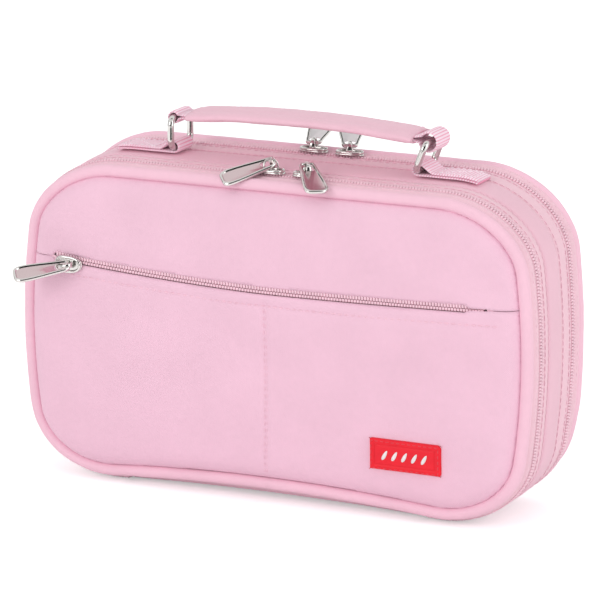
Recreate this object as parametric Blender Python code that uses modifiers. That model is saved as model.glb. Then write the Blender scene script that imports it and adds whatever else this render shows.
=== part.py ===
"""Soft pencil case with two full zips, a front pocket and a strap handle. Metres, +Z up, front is -Y."""

import math

import bpy
from mathutils import Matrix, Vector

# Overall sizes
WIDTH = 0.225
HEIGHT = 0.1335
COIL_GAP = 0.0350  # between the two zips, front to back
COVER_DEPTH = 0.0093  # from a zip to its cover's piping
CROWN = 0.0045  # how far the panels stand out beyond their piping

# Outline
CORNER_X = 0.0344
CORNER_Z = 0.0290
SIDE_BOW = 0.0074
CREASE_IN = 0.0056
BASE_ARCH = 0.0
CREASE_ARCH = 0.0048
REAR_RISE = 0.0026  # how much higher the rear zip's top is than the front zip's
STRIP_BACK = 0.0054  # from the end of the straight base to the end of the hinge strip
STRIP_HALF = WIDTH / 2 - SIDE_BOW - CORNER_X - STRIP_BACK

# Cloth, zip and wire
CLEAR = 0.0003
CLOTH = 0.0014
TAPE = 0.0010
COIL_THICK = 0.0022
COIL_SLOT = 0.0008  # half the slot between the two coils, where a slider's post runs
COIL_EDGE = 0.0027
PIPING = 0.0023
WIRE = 0.0014
BOARD = 0.0014

# Front pocket
POCKET_DROP = 0.0420  # from the top of the case
POCKET_Z = HEIGHT - POCKET_DROP
POCKET_END = 0.0185  # from the side of the case
POCKET_HALF = WIDTH / 2 - POCKET_END
POCKET_TAPE = 0.0090
POCKET_GAP = 0.0046

# Label
LABEL_RIGHT = 0.0513  # from the side of the case to the label's middle
LABEL_UP = 0.0282
LABEL_WIDE = 0.0305
LABEL_TALL = 0.0130

# Inside
LOOP_COUNT = 6
LOOP_PITCH = 0.0145
LOOP_INNER = 0.0110
LOOP_DEEP = 0.0085
LOOP_TALL = 0.0220
LOOP_UP = 0.0660
ELASTIC = 0.0010
NET_WIDE = 0.1500
NET_TALL = 0.0560
NET_UP = 0.0420

# Sliders and tabs
PLATE_X = 0.0120
PLATE_Y = 0.0080
PLATE_THICK = 0.0012
PIVOT_UP = 0.0031
BRIDGE_HALF = 0.0008
EYE_HALF = 0.0022
TAB_LENGTH = 0.0220
TAB_TIP = 0.0100
TAB_ROOT = 0.0068
TAB_THICK = 0.0010
TAB_BAR = 0.0005

# Handle
RING_LEFT_X = -0.0524
RING_RIGHT_X = 0.0548
RING_SPAN = 0.0180
RING_RISE = 0.0122
RING_LEAN = math.radians(20.0)  # the right ring stands leaning outward
STRAP = 0.0016
STRAP_WIDE = 0.0140
STRAP_ARCH = 0.0030
SLEEVE_WIDE = 0.0200
SLEEVE_THICK = 0.0042
TAIL = 0.0260
WEBBING = 0.0010
PLAY = 0.0016  # room in the right loop, because the linkage is opened there

for old in list(bpy.data.objects):
    bpy.data.objects.remove(old, do_unlink=True)

scene = bpy.context.scene
case = bpy.data.collections.new("pencil_case")
tools = bpy.data.collections.new("cutters")
scene.collection.children.link(case)
scene.collection.children.link(tools)
tools.hide_render = True


def material(name, colour, rough, metal=0.0):
    made = bpy.data.materials.new(name)
    made.use_nodes = True
    shader = made.node_tree.nodes["Principled BSDF"]
    shader.inputs["Base Color"].default_value = (*colour, 1.0)
    shader.inputs["Roughness"].default_value = rough
    shader.inputs["Metallic"].default_value = metal
    made.diffuse_color = (*colour, 1.0)
    return made


CANVAS = material("canvas_pink", (0.91, 0.59, 0.71), 0.85)
TRIM = material("piping_pink", (0.94, 0.58, 0.70), 0.80)
ZIP = material("zip_tape_pink", (0.84, 0.50, 0.60), 0.80)
NYLON = material("zip_coil_pink", (0.88, 0.52, 0.63), 0.45)
LINING = material("lining_pink", (0.55, 0.16, 0.26), 0.85)
GROSGRAIN = material("webbing_pink", (0.80, 0.48, 0.58), 0.85)
NICKEL = material("nickel", (0.80, 0.79, 0.77), 0.12, 1.0)
RED = material("patch_red", (0.91, 0.047, 0.065), 0.50)
WHITE = material("motif_white", (0.93, 0.90, 0.90), 0.50)
FOAM = material("foam_board", (0.80, 0.80, 0.80), 0.90)
STOP = material("zip_stop", (0.78, 0.42, 0.52), 0.50)


def finish(obj, stuff):
    """Give a solid its own copy of a material and file it as a part."""
    obj.data.materials.clear()
    own = stuff.copy()
    own.name = obj.name + "_" + stuff.name
    obj.data.materials.append(own)
    for holder in list(obj.users_collection):
        holder.objects.unlink(obj)
    case.objects.link(obj)
    return obj


def mesh_object(name, points, faces):
    data = bpy.data.meshes.new(name)
    data.from_pydata([tuple(p) for p in points], [], faces)
    data.validate()
    obj = bpy.data.objects.new(name, data)
    tools.objects.link(obj)
    obj.hide_render = True
    obj.display_type = "WIRE"
    return obj


def settle(obj):
    """Turn a curve or a modified object into a plain closed mesh."""
    bpy.context.view_layer.update()
    graph = bpy.context.evaluated_depsgraph_get()
    data = bpy.data.meshes.new_from_object(obj.evaluated_get(graph))
    name = obj.name
    data.transform(obj.matrix_world)
    bpy.data.objects.remove(obj, do_unlink=True)
    made = bpy.data.objects.new(name, data)
    made.name = name
    tools.objects.link(made)
    made.hide_render = True
    made.display_type = "WIRE"
    bpy.context.view_layer.objects.active = made
    made.select_set(True)
    bpy.ops.object.mode_set(mode="EDIT")
    bpy.ops.mesh.select_all(action="SELECT")
    bpy.ops.mesh.remove_doubles(threshold=1e-6)
    bpy.ops.mesh.normals_make_consistent(inside=False)
    bpy.ops.object.mode_set(mode="OBJECT")
    made.select_set(False)
    return made


def show(obj, stuff):
    obj.hide_render = False
    obj.display_type = "TEXTURED"
    return finish(obj, stuff)


def plate(name, loops, low, high, axis="Y"):
    """A flat sheet: 2D loops filled and extruded from low to high along Y, or along Z."""
    data = bpy.data.curves.new(name, "CURVE")
    data.dimensions = "2D"
    data.fill_mode = "BOTH"
    data.extrude = (high - low) / 2
    for loop in loops:
        spline = data.splines.new("POLY")
        spline.points.add(len(loop) - 1)
        for point, (a, b) in zip(spline.points, loop):
            point.co = (a, b, 0.0, 1.0)
        spline.use_cyclic_u = True
    obj = bpy.data.objects.new(name, data)
    tools.objects.link(obj)
    if axis == "Y":
        obj.rotation_euler = (math.pi / 2, 0.0, 0.0)
        obj.location = (0.0, (low + high) / 2, 0.0)
    else:
        obj.location = (0.0, 0.0, (low + high) / 2)
    return settle(obj)


def wire(name, path, radius, around=2):
    """A closed round bead along 3D points."""
    data = bpy.data.curves.new(name, "CURVE")
    data.dimensions = "3D"
    data.bevel_depth = radius
    data.bevel_resolution = around - 1
    spline = data.splines.new("POLY")
    spline.points.add(len(path) - 1)
    for point, place in zip(spline.points, path):
        point.co = (*place, 1.0)
    spline.use_cyclic_u = True
    obj = bpy.data.objects.new(name, data)
    tools.objects.link(obj)
    return settle(obj)


def box(name, low, high):
    x0, y0, z0 = low
    x1, y1, z1 = high
    return plate(name, [[(x0, z0), (x1, z0), (x1, z1), (x0, z1)]], y0, y1)


def boolean(obj, other, operation):
    change = obj.modifiers.new(operation.lower(), "BOOLEAN")
    change.operation = operation
    change.solver = "EXACT"
    change.object = other
    made = settle(obj)
    bpy.data.objects.remove(other, do_unlink=True)
    return made


def cut(obj, other):
    return boolean(obj, other, "DIFFERENCE")


def join(obj, other):
    return boolean(obj, other, "UNION")


# The outline


def rise_at(y):
    """The top climbs evenly from the front zip to the rear zip."""
    share = (y + COIL_GAP / 2) / COIL_GAP
    return REAR_RISE * min(1.0, max(0.0, share))


def outline(inset, arch, y=-1.0):
    """Closed loop of (x, z) at depth y: from the strip's right end, up the right, over the top and back."""
    half = WIDTH / 2 - SIDE_BOW - inset
    tall = HEIGHT / 2 - inset
    rx = CORNER_X - inset
    rz = CORNER_Z - inset
    loop = [(STRIP_HALF, -tall)]
    for cx, cz, start in (
        (half - rx, rz - tall, 270),
        (half - rx, tall - rz, 0),
        (rx - half, tall - rz, 90),
        (rx - half, rz - tall, 180),
    ):
        for step in range(7):
            turn = math.radians(start + 15 * step)
            loop.append((cx + rx * math.cos(turn), cz + rz * math.sin(turn)))
        if start == 0:
            for step in (1, 2):
                loop.append((cx * (1 - 2 * step / 3), tall))
        if start in (270, 90):
            side = half if start == 270 else -half
            low = rz - tall if start == 270 else tall - rz
            for step in (1, 2):
                loop.append((side, low * (1 - 2 * step / 3)))
    loop.append((-STRIP_HALF, -tall))
    for step in range(1, 7):
        loop.append((-STRIP_HALF + 2 * STRIP_HALF * step / 7, -tall))
    shaped = []
    for x, z in loop:
        u = x / half
        v = z / tall
        lift = arch * (1 - u * u) * -v if v < 0 else rise_at(y) * v
        bow = math.copysign(SIDE_BOW * (1 - v * v) * abs(u), u)
        shaped.append((x + bow, z + lift + HEIGHT / 2))
    return shaped


OPEN_END = len(outline(0.0, 0.0)) - 6  # points before this one belong to the zip, the rest to the strip


def trimmed(loop, extra=0.0):
    """The zip's share of a loop, drawn back from the hinge strip at both ends."""
    run = loop[:OPEN_END]
    run[0] = (run[0][0] + CLEAR + extra, run[0][1])
    run[-1] = (run[-1][0] - CLEAR - extra, run[-1][1])
    return run


def strip_part(loop):
    return [loop[OPEN_END - 1]] + loop[OPEN_END:] + [loop[0]]


def band(name, inset, thick, low, high, whole=True, arch=BASE_ARCH):
    """A wall that follows the outline: all round, or only where the zip runs."""
    middle = (low + high) / 2
    outer = outline(inset, arch, middle)
    inner = outline(inset + thick, arch, middle)
    if whole:
        return plate(name, [outer, inner], low, high)
    return plate(name, [trimmed(outer) + trimmed(inner)[::-1]], low, high)


def strip(name, inset, thick, low, high):
    outer = strip_part(outline(inset, BASE_ARCH))
    inner = strip_part(outline(inset + thick, BASE_ARCH))
    return plate(name, [outer + inner[::-1]], low, high)


def slope(name, face, start, end, thick, part):
    """A cloth wall lofted from the zip to the piping. start and end are (inset, y, arch)."""
    sections = []
    for inset, y, arch in (start, end):
        for extra in (0.0, thick):
            loop = part(outline(inset + extra, arch, y * face))
            sections.append([(x, y * face, z) for x, z in loop])
    outer0, inner0, outer1, inner1 = sections
    n = len(outer0)
    points = outer0 + inner0 + outer1 + inner1
    faces = []
    for i in range(n - 1):
        j = i + 1
        faces.append((i, j, 2 * n + j, 2 * n + i))
        faces.append((n + j, n + i, 3 * n + i, 3 * n + j))
        faces.append((j, i, n + i, n + j))
        faces.append((2 * n + i, 2 * n + j, 3 * n + j, 3 * n + i))
    faces.append((0, 2 * n, 3 * n, n))
    faces.append((n - 1, 2 * n - 1, 4 * n - 1, 3 * n - 1))
    return settle(mesh_object(name, points, faces))


def dish(name, face, rings, thick):
    """A crowned cloth panel: rings of (inset, y) from rim to plateau, with a parallel inner skin."""
    points = []
    faces = []
    count = len(outline(0.0, 0.0))
    skins = []
    for drop in (0.0, thick):
        first = len(points)
        for inset, y in rings:
            loop = outline(inset, CREASE_ARCH, y * face)
            points += [(x, (y - drop) * face, z) for x, z in loop]
        skins.append(first)
    last = len(rings) - 1
    for first in skins:
        for r in range(last):
            for i in range(count):
                j = (i + 1) % count
                a = first + r * count
                b = a + count
                faces.append((a + i, a + j, b + j, b + i))
        top = first + last * count
        faces.append(tuple(range(top, top + count)))
    for i in range(count):
        j = (i + 1) % count
        faces.append((skins[0] + i, skins[0] + j, skins[1] + j, skins[1] + i))
    return settle(mesh_object(name, points, faces))


# Depths, front to back; a cover's own depths are measured away from the middle
COIL = COIL_GAP / 2
ROOT_EDGE = COIL - COIL_EDGE
COVER_EDGE = COIL + COIL_EDGE
CREASE = COIL + COVER_DEPTH
RIM_IN = CREASE_IN + PIPING + CLEAR
PANEL = CREASE + CROWN
BACKING = PANEL - CLOTH - POCKET_GAP

# Middle section

gusset_front = -(ROOT_EDGE - 0.0055)
gusset_rear = ROOT_EDGE - 0.0102
lining_half = ROOT_EDGE - 0.0029

show(band("gusset_band", 0.0, CLOTH, gusset_front, gusset_rear), CANVAS)
lined = [outline(CLOTH + CLEAR + deep, BASE_ARCH, gusset_front) for deep in (0.0, TAPE)]
show(plate("gusset_lining", lined, -lining_half, lining_half), LINING)
show(
    band("gusset_tape_front", 0.0004, TAPE, -ROOT_EDGE + CLEAR, gusset_front - CLEAR, False),
    ZIP,
)
show(
    band("gusset_tape_rear", 0.0004, TAPE, gusset_rear + CLEAR, ROOT_EDGE - CLEAR, False),
    ZIP,
)
for side, face in (("front", -1), ("rear", 1)):
    near = sorted((face * (COIL - COIL_SLOT), face * ROOT_EDGE))
    show(band("gusset_coil_" + side, 0.0, COIL_THICK, *near, False), NYLON)
    edge = gusset_front - CLEAR if face < 0 else gusset_rear + CLEAR
    reach = sorted((edge, face * (COIL - CLEAR)))
    show(strip("hinge_strip_" + side + "_inner", 0.0, CLOTH, *reach), CANVAS)

divider = outline(CLOTH + 2 * CLEAR + TAPE, BASE_ARCH, -lining_half)
show(plate("divider_panel", [divider], -0.0010, 0.0010), LINING)

# Fitted inside: elastic pen loops in front of the divider, a net pocket behind it

sewn = -0.0010 - CLEAR
far_path = []
near_path = []
for n in range(LOOP_COUNT):
    mid = (n - (LOOP_COUNT - 1) / 2) * LOOP_PITCH
    for path, add in ((near_path, 0.0), (far_path, ELASTIC)):
        half = LOOP_INNER / 2 + add
        deep = sewn - LOOP_DEEP - add
        foot = sewn - add
        path += [(mid - half, foot), (mid - half, deep + 0.0028), (mid - half + 0.0028, deep)]
        path += [(mid + half - 0.0028, deep), (mid + half, deep + 0.0028), (mid + half, foot)]
end = LOOP_COUNT / 2 * LOOP_PITCH
far_path = [(-end, sewn - ELASTIC)] + far_path + [(end, sewn - ELASTIC)]
near_path = [(-end, sewn)] + near_path + [(end, sewn)]
low = LOOP_UP - LOOP_TALL / 2
show(plate("pen_loops", [far_path + near_path[::-1]], low, low + LOOP_TALL, "Z"), LINING)


def rounded(cx, cy, wide, tall, radius, steps=3):
    loop = []
    for sx, sy, start in ((1, -1, 270), (1, 1, 0), (-1, 1, 90), (-1, -1, 180)):
        for step in range(steps + 1):
            turn = math.radians(start + 90 * step / steps)
            x = cx + sx * (wide / 2 - radius) + radius * math.cos(turn)
            y = cy + sy * (tall / 2 - radius) + radius * math.sin(turn)
            loop.append((x, y))
    return loop


net = rounded(0.0, NET_UP, NET_WIDE, NET_TALL, 0.0060)
show(plate("net_pocket", [net], 0.0010 + CLEAR, 0.0018 + CLEAR), LINING)

# Covers

for side, face in (("front", -1), ("rear", 1)):
    far = sorted((face * (COIL + COIL_SLOT), face * COVER_EDGE))
    show(band(side + "_cover_coil", 0.0, COIL_THICK, *far, False), NYLON)
    slant = math.hypot(CREASE_IN, CREASE - COVER_EDGE)
    reach = 1 - (PIPING + CLEAR) / slant
    start = (0.0004, COVER_EDGE + CLEAR, BASE_ARCH)
    rise = BASE_ARCH + (CREASE_ARCH - BASE_ARCH) * reach
    end = (CREASE_IN * reach, COVER_EDGE + (CREASE - COVER_EDGE) * reach, rise)
    show(slope(side + "_cover_tape", face, start, end, TAPE, trimmed), ZIP)
    start = (0.0, COIL + CLEAR, BASE_ARCH)
    show(slope("hinge_strip_" + side + "_outer", face, start, end, CLOTH, strip_part), CANVAS)
    bead = [(x, face * CREASE, z) for x, z in outline(CREASE_IN, CREASE_ARCH, face * CREASE)]
    show(wire(side + "_piping", bead, PIPING), TRIM)

rings = [
    (RIM_IN, CREASE + 0.0009),
    (RIM_IN + 0.0018, CREASE + 0.55 * CROWN),
    (RIM_IN + 0.0040, CREASE + 0.88 * CROWN),
    (RIM_IN + 0.0064, PANEL),
]
top_slot = POCKET_Z + COIL_SLOT + 0.0034
low_slot = POCKET_Z - COIL_SLOT - 0.0034
upper = dish("front_panel_upper", -1, rings, CLOTH)
show(cut(upper, box("below", (-WIDTH, -PANEL - 0.01, -0.01), (WIDTH, 0.0, top_slot))), CANVAS)
lower = dish("front_pocket_panel", -1, rings, CLOTH)
show(cut(lower, box("above", (-WIDTH, -PANEL - 0.01, low_slot), (WIDTH, 0.0, HEIGHT))), CANVAS)

backing = outline(RIM_IN, CREASE_ARCH)
rear_backing = outline(RIM_IN, CREASE_ARCH, CREASE)
wall_in = BACKING - 0.0008
board_in = wall_in - CLEAR - BOARD
skin_in = board_in - CLEAR - 0.0008
show(plate("front_cover_wall", [backing], -BACKING, -wall_in), CANVAS)
show(plate("front_cover_board", [backing], -wall_in + CLEAR, -board_in), FOAM)
show(plate("front_cover_lining", [backing], -board_in + CLEAR, -skin_in), LINING)

rear_crown = 0.6 * CROWN
rear_rings = [
    (RIM_IN, CREASE + 0.0009),
    (RIM_IN + 0.0040, CREASE + 0.7 * rear_crown),
    (RIM_IN + 0.0090, CREASE + rear_crown),
]
show(dish("rear_panel", 1, rear_rings, CLOTH), CANVAS)
rear_face = CREASE + 0.0009 - CLOTH - CLEAR
show(plate("rear_cover_board", [rear_backing], board_in, rear_face), FOAM)
show(plate("rear_cover_lining", [rear_backing], skin_in, board_in - CLEAR), LINING)

# Pocket zip, let into the front panel

zip_out = PANEL - 0.0001
tape_out = PANEL - CLOTH - CLEAR
for name, sign in (("upper", 1), ("lower", -1)):
    near = POCKET_Z + sign * COIL_SLOT
    far = near + sign * 0.0019
    low, high = sorted((near, far))
    coil = box(
        "pocket_coil_" + name,
        (-POCKET_HALF, -zip_out, low),
        (POCKET_HALF, -zip_out + COIL_THICK, high),
    )
    show(coil, NYLON)
    low, high = sorted((far + sign * CLEAR, POCKET_Z + sign * POCKET_TAPE))
    tape = box(
        "pocket_tape_" + name,
        (-POCKET_HALF - 0.0010, -tape_out, low),
        (POCKET_HALF + 0.0010, -tape_out + 0.0008, high),
    )
    show(tape, ZIP)
for name, sign in (("left", -1), ("right", 1)):
    inner = sign * (POCKET_HALF + CLEAR)
    low, high = sorted((inner, inner + sign * 0.0025))
    stop = box(
        "pocket_stop_" + name,
        (low, -PANEL - 0.0003, POCKET_Z - 0.0028),
        (high, -tape_out - 0.0006, POCKET_Z + 0.0028),
    )
    show(stop, STOP)

# Label

patch_x = WIDTH / 2 - LABEL_RIGHT
patch_z = LABEL_UP


patch = plate(
    "label_patch",
    [rounded(patch_x, patch_z, LABEL_WIDE, LABEL_TALL, 0.0012)],
    -PANEL - CLEAR - 0.0012,
    -PANEL - CLEAR,
)
face = -PANEL - CLEAR
recess = plate("recess", [rounded(patch_x, patch_z, LABEL_WIDE - 0.0050, LABEL_TALL - 0.0040, 0.0008)], face - 0.0020, face - 0.0009)
pad = plate("pad", [rounded(patch_x, patch_z, LABEL_WIDE - 0.0060, LABEL_TALL - 0.0050, 0.0006)], face - 0.0012, face - 0.0006)
show(join(cut(patch, recess), pad), RED)
mark = [(patch_x + x, patch_z + z) for x, z in ((-0.008, 0.0), (0.0, 0.0022), (0.008, 0.0), (0.0, -0.0022))]
motif = plate("label_motif", [mark], -PANEL - 2 * CLEAR - 0.0016, -PANEL - 2 * CLEAR - 0.0012)
show(motif, WHITE)

# Sliders and pull tabs


def pose(origin, x_axis, z_axis):
    """Matrix of a frame at origin with the given X axis and, as near as it can be, Z axis."""
    x = Vector(x_axis).normalized()
    y = Vector(z_axis).cross(x).normalized()
    z = x.cross(y)
    turned = Matrix((x, y, z)).transposed().to_4x4()
    return Matrix.Translation(Vector(origin)) @ turned


def slider(name, centre, run, out, pivot, bar):
    """Two plates round the coil, a post in the slot, and a bridge square to the tab's bar."""
    top = CLEAR
    inner = COIL_THICK + CLEAR
    shape = [
        (-PLATE_X / 2, -0.0030),
        (-PLATE_X / 2 + 0.0016, -PLATE_Y / 2 + 0.0006),
        (PLATE_X / 2 - 0.0030, -PLATE_Y / 2),
        (PLATE_X / 2, -0.0022),
        (PLATE_X / 2, 0.0022),
        (PLATE_X / 2 - 0.0030, PLATE_Y / 2),
        (-PLATE_X / 2 + 0.0016, PLATE_Y / 2 - 0.0006),
        (-PLATE_X / 2, 0.0030),
    ]
    body = plate(name, [shape], top, top + PLATE_THICK, "Z")
    low = plate("low", [shape], -inner - PLATE_THICK, -inner, "Z")
    post = [(0.0010, -0.0005), (0.0040, -0.0005), (0.0040, 0.0005), (0.0010, 0.0005)]
    stem = plate("stem", [post], -inner - 0.0004, top + 0.0004, "Z")
    body = join(join(body, stem), low)
    base = top + PLATE_THICK - 0.0003
    eye_top = top + PLATE_THICK + pivot + 2 * TAB_BAR + 0.0006
    roof = eye_top + 0.0009
    leg = EYE_HALF + 0.0010
    arch = [
        (-leg, base),
        (-EYE_HALF, base),
        (-EYE_HALF, eye_top - 0.0006),
        (-EYE_HALF + 0.0008, eye_top),
        (EYE_HALF - 0.0008, eye_top),
        (EYE_HALF, eye_top - 0.0006),
        (EYE_HALF, base),
        (leg, base),
        (leg, roof - 0.0010),
        (leg - 0.0010, roof),
        (-leg + 0.0010, roof),
        (-leg, roof - 0.0010),
    ]
    bridge = plate("bridge", [arch], -BRIDGE_HALF, BRIDGE_HALF)
    place = pose(centre, run, out)
    flat = Vector(bar) - Vector(out) * Vector(bar).dot(Vector(out))
    local = place.to_3x3().inverted() @ flat
    bridge.matrix_world = Matrix.Rotation(math.atan2(local.y, local.x) + math.pi / 2, 4, "Z")
    body = join(body, bridge)
    body.matrix_world = place
    return show(body, NICKEL)


def tab(name, pivot, along, bar):
    """A flared pull with a raised rim, hooked by the bar at its narrow end."""
    root = TAB_ROOT / 2
    tip = TAB_TIP / 2
    end = TAB_LENGTH
    hole = root - 0.0012
    shape = [
        (-TAB_BAR, -root + 0.0010),
        (0.0006, -root),
        (end - 0.0030, -tip),
        (end - 0.0008, -tip + 0.0014),
        (end, -tip + 0.0036),
        (end, tip - 0.0036),
        (end - 0.0008, tip - 0.0014),
        (end - 0.0030, tip),
        (0.0006, root),
        (-TAB_BAR, root - 0.0010),
    ]
    eye = [(TAB_BAR, -hole), (TAB_BAR, hole), (0.0043, hole), (0.0043, -hole)]
    body = plate(name, [shape, eye], -TAB_THICK / 2, TAB_THICK / 2, "Z")
    face = [(0.0062, -hole), (end - 0.0020, -tip + 0.0014), (end - 0.0020, tip - 0.0014), (0.0062, hole)]
    for low, high in ((0.30, 1.0), (-1.0, -0.30)):
        body = cut(body, plate("recess", [face], low * TAB_THICK, high * TAB_THICK, "Z"))
    turned = pose(pivot, along, Vector(along).cross(Vector(bar)))
    body.matrix_world = turned
    return show(body, NICKEL)


def pull(name, centre, run, out, heading, droop):
    """A slider and its tab. heading is the tab's way seen from outside, droop its fall below level."""
    up = Vector(out)
    level = Vector(heading) - up * Vector(heading).dot(up)
    level.normalize()
    along = level * math.cos(droop) - up * math.sin(droop)
    bar = level.cross(up)
    lift = CLEAR + PLATE_THICK + PIVOT_UP
    pivot = Vector(centre) + up * lift
    slider(name + "_slider", centre, run, out, PIVOT_UP, bar)
    tab(name + "_tab", pivot, along, bar)
    return pivot, bar


OUT_UP = (0.0, 0.0, 1.0)
rear_top = HEIGHT + rise_at(COIL)
pull("front_zip_left", (-0.0040, -COIL, HEIGHT), (1, 0, 0), OUT_UP, (-0.83, -0.56, 0), math.radians(18))
pull("front_zip_right", (0.0120, -COIL, HEIGHT), (-1, 0, 0), OUT_UP, (0.59, -0.81, 0), math.radians(18))
pull("rear_zip_left", (-0.0010, COIL, rear_top), (1, 0, 0), OUT_UP, (-0.245, 0.970, 0), math.radians(-8))
pull("rear_zip_right", (0.0150, COIL, rear_top), (-1, 0, 0), OUT_UP, (-0.375, 0.927, 0), math.radians(-8))
pull(
    "pocket_zip",
    (PLATE_X / 2 + 2 * CLEAR - POCKET_HALF, -zip_out, POCKET_Z),
    (-1, 0, 0),
    (0, -1, 0),
    (-1, 0, -0.20),
    math.radians(-30),
)

# Strap anchors, rings and handle

HOLE = WIRE + 0.0003
SEAT_Z = HEIGHT + rise_at(STRAP_WIDE / 2) + CLEAR
BAR_Z = SEAT_Z + WEBBING + HOLE


def top_z(x):
    """Height of the anchors' seat at x."""
    flat = WIDTH / 2 - SIDE_BOW - CORNER_X
    over = max(0.0, abs(x) - flat) / CORNER_X
    return SEAT_Z - CORNER_Z * (1 - math.sqrt(max(0.0, 1 - over * over)))


def circle(cx, cz, radius, steps=16):
    turns = [2 * math.pi * i / steps for i in range(steps)]
    return [(cx + radius * math.cos(t), cz + radius * math.sin(t)) for t in turns]


for name, x, sign in (("left", RING_LEFT_X, -1), ("right", RING_RIGHT_X, 1)):
    outer = HOLE + WEBBING
    loop = [(x + outer * math.sin(t) * -sign, BAR_Z + outer * math.cos(t)) for t in (-0.5, 0.1, 0.8, 1.5, 2.2)]
    floor = [(x, top_z(x))]
    roof = []
    for step in range(1, 6):
        at = x + sign * (0.002 + (TAIL - 0.002) * step / 5)
        floor.append((at, top_z(at)))
        roof.append((at, top_z(at) + 2 * WEBBING))
    edge = loop + floor + roof[::-1]
    show(
        plate("strap_anchor_" + name, [edge, circle(x, BAR_Z, HOLE)], -STRAP_WIDE / 2, STRAP_WIDE / 2),
        GROSGRAIN,
    )


def ring(name, x, lean):
    """A rectangular wire link, standing on its bottom bar and leaning about it."""
    half = RING_SPAN / 2
    loop = rounded(0.0, RING_RISE / 2, RING_SPAN, RING_RISE, 0.0022)
    path = [(0.0, y, z) for y, z in loop]
    obj = wire(name, path, WIRE)
    obj.matrix_world = Matrix.Translation((x, 0.0, BAR_Z)) @ Matrix.Rotation(lean, 4, "Y")
    return show(obj, NICKEL)


ring("ring_left", RING_LEFT_X, 0.0)
ring("ring_right", RING_RIGHT_X, RING_LEAN)

top_left = (RING_LEFT_X, BAR_Z + RING_RISE)
top_right = (RING_RIGHT_X + RING_RISE * math.sin(RING_LEAN), BAR_Z + RING_RISE * math.cos(RING_LEAN))


def strap_line(t):
    """Centre line of the strap between the two rings' top bars."""
    x = top_left[0] + (top_right[0] - top_left[0]) * t
    z = top_left[1] + (top_right[1] - top_left[1]) * t
    return x, z + STRAP_ARCH * (1 - (2 * t - 1) ** 2)


def strap_edge(grow, first, last, steps=10):
    """Closed side view of a length of strap, grown by grow on both faces."""
    top = []
    low = []
    for i in range(steps + 1):
        x, z = strap_line(first + (last - first) * i / steps)
        top.append((x, z + STRAP / 2 + grow))
        low.append((x, z - STRAP / 2 - grow))
    return low + top[::-1]


def loop_ring(cx, cz, hole):
    return circle(cx, cz, hole + WEBBING, 16), circle(cx, cz, hole, 16)


strap = plate("handle_webbing", [strap_edge(0.0, 0.010, 0.978)], -STRAP_WIDE / 2, STRAP_WIDE / 2)
for (cx, cz), hole in ((top_left, HOLE), (top_right, HOLE + PLAY)):
    outer, inner = loop_ring(cx, cz, hole)
    strap = join(strap, plate("eye", [outer], -STRAP_WIDE / 2, STRAP_WIDE / 2))
    strap = cut(strap, plate("hole", [inner], -STRAP_WIDE, STRAP_WIDE))
show(strap, GROSGRAIN)

grow = (SLEEVE_THICK - STRAP) / 2
sleeve = plate("handle_sleeve", [strap_edge(grow, 0.065, 0.920)], -SLEEVE_WIDE / 2, SLEEVE_WIDE / 2)
soft = sleeve.modifiers.new("edge", "BEVEL")
soft.width = 0.0015
soft.segments = 1
soft.limit_method = "ANGLE"
soft.angle_limit = math.radians(50)
sleeve = settle(sleeve)
slot = plate("slot", [strap_edge(CLEAR, 0.0, 1.0)], -STRAP_WIDE / 2 - CLEAR, STRAP_WIDE / 2 + CLEAR)
show(cut(sleeve, slot), CANVAS)

# What moves with what: an empty on each cover's hinge line and on the handle's pivot


def carry(name, place, names):
    holder = bpy.data.objects.new(name, None)
    holder.empty_display_size = 0.01
    holder.location = place
    case.objects.link(holder)
    for part in names:
        adopt(bpy.data.objects[part], holder)
    return holder


def adopt(child, parent):
    bpy.context.view_layer.update()
    child.parent = parent
    child.matrix_parent_inverse = parent.matrix_world.inverted()


for side, face in (("front", -1), ("rear", 1)):
    skins = ["cover_coil", "cover_tape", "cover_board", "cover_lining", "piping"]
    names = [side + "_" + skin for skin in skins]
    names.append("hinge_strip_" + side + "_outer")
    names += [side + "_zip_" + end + "_slider" for end in ("left", "right")]
    if face < 0:
        names += ["front_cover_wall", "front_panel_upper", "front_pocket_panel"]
        names += ["label_patch", "label_motif", "pocket_zip_slider"]
        names += ["pocket_" + kind + "_" + half for kind in ("coil", "tape") for half in ("upper", "lower")]
        names += ["pocket_stop_left", "pocket_stop_right"]
    else:
        names.append("rear_panel")
    carry(side + "_cover_pivot", (0.0, face * COIL, 0.0), names)
for zipper in ("front_zip_left", "front_zip_right", "rear_zip_left", "rear_zip_right", "pocket_zip"):
    adopt(bpy.data.objects[zipper + "_tab"], bpy.data.objects[zipper + "_slider"])
handle = carry("handle_pivot", (top_left[0], 0.0, top_left[1]), ["handle_webbing", "handle_sleeve"])
adopt(handle, bpy.data.objects["ring_left"])
bpy.context.view_layer.update()
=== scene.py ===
"""Looks for the soft pencil case: cloth, zips, nickel, camera and light. Metres, in the CAD's frame."""

import math

import bpy
import numpy as np
from mathutils import Matrix, Vector, geometry, noise


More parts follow.
